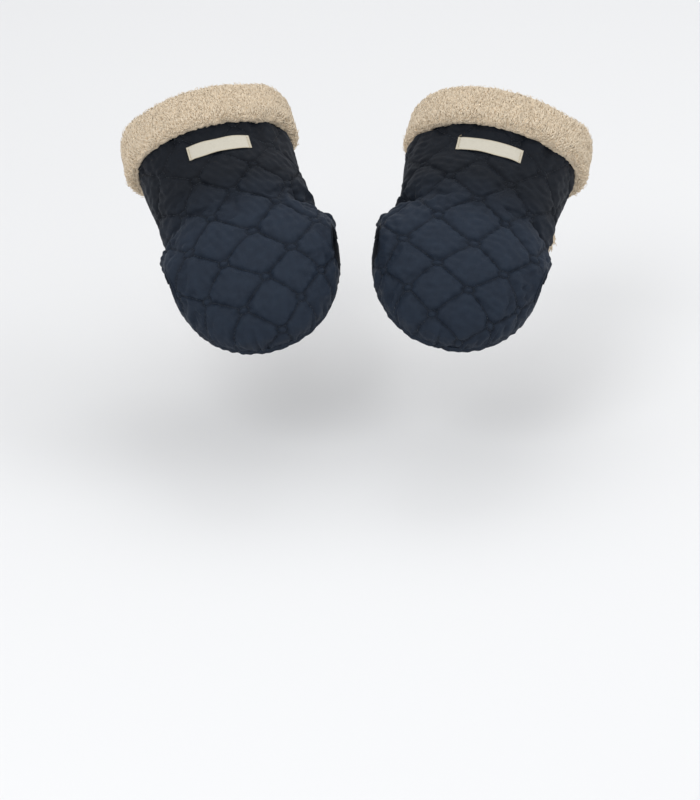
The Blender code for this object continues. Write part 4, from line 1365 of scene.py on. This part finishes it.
def on_panel(flat):
    """Row and column of the top grid at flat places, and whether they are on the panel."""
    across, along = np.moveaxis(flat, -1, 0)
    y = np.where(along < widest_from_arch, np.interp(along, dome_walk, dome_places), along)
    on_dome = y < widest_from_arch
    reach = (np.where(on_dome, widest_from_arch - y, 0) / lobe_length).clip(0, 0.9999)
    dome_width = lobe_half_width * (1 - reach**outline_power) ** (1 / outline_power)
    width = np.where(on_dome, dome_width, half_width(y))
    mix = smooth_step(y, widest_from_arch, band_from_arch)
    wanted = np.abs(across) / width
    limit = walk_dome[-1] * (1 - mix) + walk_mouth[-1] * mix
    asked, share = wanted.copy(), 0 * wanted
    for _ in range(3):
        share = (1 - mix) * np.interp(asked, walk_dome, side_from_crown)
        share += mix * np.interp(asked, walk_mouth, side_from_crown)
        found = (1 - mix) * np.interp(share, side_from_crown, walk_dome)
        found += mix * np.interp(share, side_from_crown, walk_mouth)
        asked = asked + wanted - found
    on = (wanted < limit * 0.995) & (along > dome_walk[0] + tip_margin) & (along < cloth_end)
    signed_share = np.where(on_dome, share * width / lobe_half_width, share) * np.sign(across)
    turn = np.arccos(np.sign(signed_share) * np.abs(signed_share).clip(0, 1) ** (1 / soft_power))
    drop = np.maximum(raised(turn) * lobe_length, 1e-9)
    cosine = ((widest_from_arch - y) / drop).clip(0, 1) ** (1 / soft_power)
    row = np.interp(np.arccos(cosine), row_swings, np.arange(dome_rows + 1))
    tube_row = dome_rows + (y - widest_from_arch) / (cloth_end - widest_from_arch) * tube_rows
    column = np.interp(turn, column_turns, np.arange(top_across + 1))
    return np.where(on_dome, row, tube_row), column, on


def sample(grid, row, column):
    """A grid's value between its points, at fractions of a row and a column."""
    low_row = np.floor(row).astype(int).clip(0, grid.shape[0] - 2)
    low_column = np.floor(column).astype(int).clip(0, grid.shape[1] - 2)
    u, v = (row - low_row)[..., None], (column - low_column)[..., None]
    first = grid[low_row, low_column] * (1 - v) + grid[low_row, low_column + 1] * v
    second = grid[low_row + 1, low_column] * (1 - v) + grid[low_row + 1, low_column + 1] * v
    return first * (1 - u) + second * u


row, column, on = on_panel(top_flat[20:200:9, 12:140:9])
error = sample(top_flat, row, column) - top_flat[20:200:9, 12:140:9]
print("places found within", round(float(np.abs(error[on]).max()) / MM, 2), "mm")

# %% Thread dashes along the lattice
stitch_length, stitch_gap, thread_radius = 2.5 * MM, 0.9 * MM, 0.19 * MM
stitch_sinks = np.array((-1.0, 0.5, 0.9, 0.5, -1.0))
stitch_widths = np.array((0.6, 1.0, 1.0, 1.0, 0.6))
line_reach, line_points, ring_points = 9, 3600, 60
farthest_line, ring_columns, ring_rows = 16, 6, 8
ring_start, on_line = 0.3 * MM, 0.6 * MM
thread_lift = 0.10 * MM
lip_clear, band_cover, arch_clear, label_clear = 2.0 * MM, 2.0 * MM, 1.0 * MM, 1.0 * MM


def dashes(path, start=0.0):
    """Cut a flat path into stitches: an array with a few points along each stitch."""
    walked = np.concatenate([[0], np.cumsum(np.linalg.norm(np.diff(path, axis=0), axis=1))])
    starts = np.arange(start, walked[-1] - stitch_length, stitch_length + stitch_gap)
    at = starts[:, None] + np.linspace(0, stitch_length, len(stitch_sinks))[None, :]
    return np.stack([np.interp(at, walked, path[:, k]) for k in (0, 1)], -1)


def from_lattice(first, second, side):
    """The flat place of lattice coordinates, with the same wander that bends the stitch lines."""
    cosine, sine = math.cos(quilt_turn[side]), math.sin(quilt_turn[side])
    across, along = first * diamond_half_width, second * diamond_half_height
    target = np.stack([cosine * across - sine * along, sine * across + cosine * along], -1)
    target += quilt_start[side]
    flat = target
    for _ in range(4):
        flat = target - strayed(flat)
    return flat


def lattice_stitches(side):
    """Every stitch of the lattice and of its rings, as flat places; those off their line are left out."""
    found = []
    share = np.linspace(-line_reach, line_reach, line_points)
    for level in range(-farthest_line, farthest_line + 1, 2):
        for sign in (1, -1):
            found.append(dashes(from_lattice(share, level - sign * share, side)))
    round_turn = np.linspace(0, 2 * math.pi, ring_points)
    for i in range(-ring_columns, ring_columns + 1):
        for j in range(-ring_rows, ring_rows + 1):
            if (i + j) % 2 == 0:
                first = i + ring_half_width / diamond_half_width * np.cos(round_turn)
                second = j + ring_half_height / diamond_half_height * np.sin(round_turn)
                found.append(dashes(from_lattice(first, second, side), ring_start))
    found = np.concatenate(found)
    return found[(stitch_distance(found, side) < on_line).all(1)]


def lay_stitches(side):
    """The stitches of one top panel, each a short tube that dips into the cotton at both ends."""
    row, column, on = on_panel(lattice_stitches(side))
    grid = top_faces[side]
    place = sample(grid, row, column)
    normal = sample(unit_normals(grid), row, column)
    normal /= np.maximum(np.linalg.norm(normal, axis=-1, keepdims=True), 1e-9)
    x, y, z = np.moveaxis(place, -1, 0)
    clear = on & (z > lip_z + lip_clear) & (y < band_from_arch + band_cover)
    clear &= label_area(x, y, label_clear, side) < 0.6
    clear &= (arch_gap(y, z) > arch_clear) | (np.abs(x) < passage_radius * side_radii)
    good = clear.all(1)
    sink = thread_radius * stitch_sinks[None, :, None]
    paths = to_row((place + normal * (thread_lift + sink))[good], side)
    widths = np.full(paths.shape[:2], thread_radius) * stitch_widths
    made = tubes(side + "_stitches", paths, widths, {}, sides=4)
    return finish_piece(made, navy_thread, side + "_muff"), len(paths)


for side in ("left", "right"):
    made, count = lay_stitches(side)
    print(made.name, count, "stitches")

# %% [markdown]
# ## The binding round the openings
# A strip of the same cotton is folded over the raw edge of each arch, from the face to the pile. It hides
# the wadding, and it bulges a little between its two rows of stitching. Its ends are tucked in at the
# lip. The flap's edge, which closes each opening from below, has a binding of its own that swings with
# the flap. From the hinge to the cuff, top and palm panels meet in a rolled side seam.

# %% Bound edges and side seams
binding_depth, binding_thickness, binding_roll = 8.2 * MM, 0.8 * MM, 1.3 * MM
binding_turns, binding_columns, binding_rows = 61, 12, 12
binding_overlap, binding_inset, binding_start = 0.25 * MM, 0.7 * MM, 0.6 * MM
tucked_in, tuck_in_reach = 1.6 * MM, 6.0 * MM
pucker_height, pucker_bump = 0.12 * MM, 5.0 * MM
flap_binding_rows, flap_binding_clearance, flap_binding_share = 41, 0.2 * MM, 0.7
flap_binding_depths = np.array((6.0, 4.5, 3.0, 1.6, 0.4, -0.3, -0.6, -0.7, -0.7, -0.6, -0.2, 1.0)) * MM
flap_binding_insets = np.array((0.10, 0.5, 0.97, 1.35, 1.6, 2.2, 3.2, 4.6, 6.2, 7.8, 9.0, 9.6)) * MM
strip_shift = 40.0 * MM
seam_radius, seam_inset, seam_past_hinge, seam_under_band = 0.8 * MM, 0.5 * MM, 1.5 * MM, 3.0 * MM
seam_wander, seam_bump, seam_points = 0.15 * MM, 8.0 * MM, 60


def path_tube(name, path, radius, finish, body, sides):
    """A smooth round tube along one path."""
    made = tubes(name, path[None], np.full((1, len(path)), radius), {}, sides)
    return finish_piece(made, finish, body)


def binding_grid(end, thicker):
    """Rows along an arch, columns from the cotton's face to the pile; end is 1 or -1."""
    turn = np.linspace(0, math.pi, binding_turns)[:, None]
    inset = np.linspace(-binding_inset, binding_depth, binding_columns)[None, :]
    rolled = np.abs(np.linspace(-1, 1, binding_columns))[None, :] ** 4
    radius = passage_radius - binding_overlap + binding_roll * rolled + thicker + 0 * turn
    low = np.linspace(lip_z + binding_start, 0, binding_rows, endpoint=False)[:, None]
    y = np.concatenate([radius[:1] + 0 * low, radius * np.cos(turn), 0 * low - radius[-1:]])
    z = np.concatenate([low + 0 * inset, radius * np.sin(turn), low[::-1] + 0 * inset])
    inset = inset + tucked_in * bell(z - lip_z, tuck_in_reach)
    x = end * np.abs(dome_side(y, z, inset, end))
    return np.stack([x, y, z], -1)


def flap_binding_grid(end, thicker):
    """Rows across an opening along the flap's edge, columns from the cotton's face to the pile."""
    y = np.linspace(-1, 1, flap_binding_rows)[:, None] * (passage_radius - flap_binding_clearance)
    below, inset = flap_binding_depths[None, :] + 0 * y, flap_binding_insets[None, :] + 0 * y
    width = panel_size(y + 0 * below)[1]
    x = end * (width * (1 - (below.clip(0) / flap_depth) ** flap_power) ** (1 / flap_power) - inset)
    grid = np.stack([x, y + 0 * below, lip_z - below], -1)
    return grid + np.array((-end, 0.0, -1.0)) * thicker * flap_binding_share


def bind_edge(name, side, end, body, make_grid, weave_axis, puckers=0.0):
    """A strip of cotton between two grids of one kind; weave_axis is the way that its threads run."""
    face, back = make_grid(end, 0.0), make_grid(end, binding_thickness)
    flat = np.stack([face[..., weave_axis], face[..., 0] + strip_shift, 0 * face[..., 0]], -1)
    face[..., 0] += end * puckers * waves(face, pucker_bump, 131)
    made = sheet_piece(
        side + name,
        to_row(face, side),
        to_row(back, side),
        attributes={"flat_place": flat.reshape(-1, 3)},
        reverse=(end > 0) == (side == "left"),
    )
    finish_piece(made, navy_cotton, side + body)


def side_seam(name, side, end):
    """The rolled seam from the hinge to under the cuff."""
    y = np.linspace(hinge_from_arch + seam_past_hinge, band_from_arch + seam_under_band, seam_points)
    width = half_width(y)
    x = lean(y) + end * width + side_shift(end * width, y, lip_z + 0 * y, width) - end * seam_inset
    seam = np.stack([x, y, lip_z + seam_wander * waves(y[:, None], seam_bump, 7)], -1)
    path_tube(side + name, to_row(seam, side), seam_radius, navy_thread, side + "_muff", 8)


for side in ("left", "right"):
    for word, end in (("_inner", 1.0), ("_outer", -1.0)):
        bind_edge(word + "_flap_binding", side, end, "_flap", flap_binding_grid, 1)
        bind_edge(word + "_binding", side, end, "_muff", binding_grid, 2, pucker_height)
        side_seam(word + "_seam", side, end)
print("bound edges of", round(binding_depth / MM, 1), "mm at the four openings, and four side seams")

# %% [markdown]
# ## The bare label
# A folded cotton ribbon, sewn down at its two short ends. It lies on the cloth but does not stick to it:
# it bulges a little in its middle, and its long edges stand free.

# %% The label
label_columns, label_rows, label_thickness = 110, 34, 0.45 * MM
label_lift, label_loose, label_bulge = 0.55 * MM, 0.35 * MM, 0.35 * MM
label_wave_height, label_wave_bump, label_wave_size = 0.28 * MM, 14.0 * MM, np.array((64, 16)) * MM
sewn_place_share, sewn_reach_share = 0.035, 0.03
label_edge_reach, label_edge_shade = 0.9 * MM, 0.6
label_size = np.array((label_right - label_left, label_top - label_bottom))
end_columns, end_stitch_rows = (3, 4, label_columns - 5, label_columns - 4), range(2, label_rows - 4, 4)
end_stitch_lift, end_stitch_radius = 0.1 * MM, 0.2 * MM


def panel_height(x, y):
    """Height of the top panel's smooth surface over a place."""
    middle, width, height = panel_size(y)
    power = squareness(y)
    share = (np.abs(x - middle) / width).clip(0, 0.999)
    return lip_z + seam_gap / 2 + height * (1 - share**power) ** (1 / power)


def sew_label(side):
    """The ribbon and its end stitches; the faces of the ribbon are given back for the loose thread."""
    x = np.linspace(label_left, label_right, label_columns)[None, :] * np.ones((label_rows, 1))
    y = np.linspace(label_bottom, label_top, label_rows)[:, None] * np.ones((1, label_columns))
    across, along = (x - label_left) / label_size[0], (y - label_bottom) / label_size[1]
    x = x + label_shift[side]
    smooth = np.stack([x, y, panel_height(x, y)], -1)
    normals = unit_normals(smooth)
    normals *= np.sign(normals[..., 2:])
    sewn = bell(np.minimum(across, 1 - across) - sewn_place_share, sewn_reach_share)
    places = np.stack([across, along], -1) * label_wave_size
    loose = waves(places, label_wave_bump, 121 + side_seed[side]) * label_wave_height + label_loose
    rise = label_lift + loose * (1 - sewn) + label_bulge * np.sin(math.pi * across)
    outer = smooth + normals * (rise + label_thickness)[..., None]
    inner = smooth + normals * rise[..., None]
    # Painted shade round the ribbon's edges, read by the label finish
    from_end = np.minimum(across, 1 - across) * label_size[0]
    from_side = np.minimum(along, 1 - along) * label_size[1]
    shade = label_edge_shade * bell(np.minimum(from_end, from_side), label_edge_reach)
    marks = {"flat_place": np.stack([x, y, 0 * x], -1).reshape(-1, 3), "painted_shade": shade.ravel()}
    made = sheet_piece(
        side + "_label_ribbon", to_row(outer, side), to_row(inner, side), None, marks, side == "left"
    )
    finish_piece(made, label_cotton, side + "_muff", (side + "_label",))
    on_ribbon = outer + normals * end_stitch_lift
    ends = np.array([on_ribbon[row : row + 3, column] for column in end_columns for row in end_stitch_rows])
    widths = np.full(ends.shape[:2], end_stitch_radius)
    stitches = tubes(side + "_label_stitches", to_row(ends, side), widths, {}, sides=5)
    finish_piece(stitches, tan_thread, side + "_muff")
    print(made.name, len(made.data.polygons), "faces,", len(ends), "end stitches")
    return outer, normals


for side in ("left", "right"):
    outer, normals = sew_label(side)

# The right label's last stitch has a loose end
thread_end_length, thread_end_swing, thread_end_radius = 3.6 * MM, 0.6 * MM, 0.16 * MM
thread_end_lift, thread_end_rise = 0.6 * MM, 1.2 * MM
corner_normal = normals[-3, -4]
corner = outer[-3, -4] + corner_normal * thread_end_lift
swing = np.linspace(0, 1, 40)[:, None]
curve = corner + np.array((-0.2, 1.0, 0.1)) * swing * thread_end_length
curve = curve + np.array((1.0, 0.0, 0.0)) * np.sin(swing * 2.2 * math.pi) * thread_end_swing
curve = curve + corner_normal * thread_end_rise * np.sin(swing * math.pi)
curve = to_row(curve, "right")
path_tube("right_loose_thread", curve, thread_end_radius, tan_thread, "right_muff", 6)

# %% [markdown]
# ## The press studs and their tapes
# These solids already have the right shapes. They only need finishes: nickel on the studs and sockets,
# and navy twill on the tapes.

# %% Finishes for the solids that stay
kept = 0
for name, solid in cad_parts.items():
    if "stud_" in name or "socket_" in name:
        finish = nickel
    elif "snap_tape" in name:
        finish = snap_tape
    else:
        continue
    solid.data.materials.clear()
    solid.data.materials.append(finish)
    kept += 1
print(kept, "solids keep their shape")

# %% [markdown]
# ## Floor, light and camera
# The floor is pale and lies lower than the flaps reach when they hang open. Its white comes from its own
# colour and from what the camera sees of the world, so that the lamps can stay at a plain level. One
# large soft lamp stands in front on the left, a weaker one fills the right side, and a third one behind
# lights the tops of the cuffs.

# %% The studio
floor_level = -0.215
floor_side, floor_front, floor_back = 6.0, -6.0, 9.0
corners = [(-1, floor_front), (1, floor_front), (1, floor_back), (-1, floor_back)]
floor_mesh = bpy.data.meshes.new("floor")
floor_mesh.from_pydata([(end * floor_side, y, floor_level) for end, y in corners], [], [(0, 1, 2, 3)])
floor = bpy.data.objects.new("floor", floor_mesh)
bpy.context.scene.collection.objects.link(floor)
floor_finish, shader = new_finish("pale_floor", 0.9)
pale = ramp_node(floor_finish, noise_node(floor_finish, 3.0), (0.3, srgb("e3e4e5")), (0.7, srgb("e6e7e8")))
set_colour(floor_finish, shader, pale)
floor_mesh.materials.append(floor_finish)

world = bpy.data.worlds.new("studio")
bpy.context.scene.world = world
world.use_nodes = True
tree = world.node_tree
seen = add_node(world, "LightPath").outputs
direct = math_node(world, "MAXIMUM", seen["Is Camera Ray"], seen["Is Glossy Ray"])
direct = math_node(world, "MAXIMUM", direct, seen["Is Transmission Ray"])
backdrop = tree.nodes["Background"]
backdrop.inputs["Color"].default_value = (0.905, 0.905, 0.915, 1)
backdrop.inputs["Strength"].default_value = 1.0
ambient = add_node(world, "Background", {"Color": (0.975, 0.975, 0.985, 1), "Strength": 0.80})
mixed = add_node(world, "MixShader", {0: direct, 1: ambient.outputs[0], 2: backdrop.outputs[0]})
tree.links.new(mixed.outputs[0], tree.nodes["World Output"].inputs["Surface"])

lamp_target = Vector((0.0, 0.0, -0.02))


def lamp(name, place, size, power):
    """A round soft lamp, in metres and watts, that points at the muffs."""
    data = bpy.data.lights.new(name, "AREA")
    data.shape, data.size, data.energy = "DISK", size, power
    made = bpy.data.objects.new(name, data)
    bpy.context.scene.collection.objects.link(made)
    made.location = place
    made.rotation_euler = (lamp_target - Vector(place)).to_track_quat("-Z", "Y").to_euler()
    return made


key_lamp = lamp("key_lamp", (-0.9, -1.6, 1.9), 1.3, 22.0)
fill_lamp = lamp("fill_lamp", (1.9, -0.2, 1.3), 1.4, 11.0)
back_lamp = lamp("back_lamp", (0.2, 1.6, 2.2), 1.6, 12.0)
print("lamps:", key_lamp.name, fill_lamp.name, back_lamp.name)

# %% The camera
camera_place, camera_target = Vector((-0.006, -3.6206, 1.7071)), Vector((-0.006, -0.0696, -0.1341))
camera_data = bpy.data.cameras.new("camera")
camera_data.lens = 181.66
camera = bpy.data.objects.new("camera", camera_data)
bpy.context.scene.collection.objects.link(camera)
camera.location = camera_place
camera.rotation_euler = (camera_target - camera_place).to_track_quat("-Z", "Y").to_euler()
bpy.context.scene.camera = camera
bpy.context.scene.view_settings.view_transform = "Standard"
print("camera", round((camera_target - camera_place).length, 2), "m away, lens", camera_data.lens, "mm")
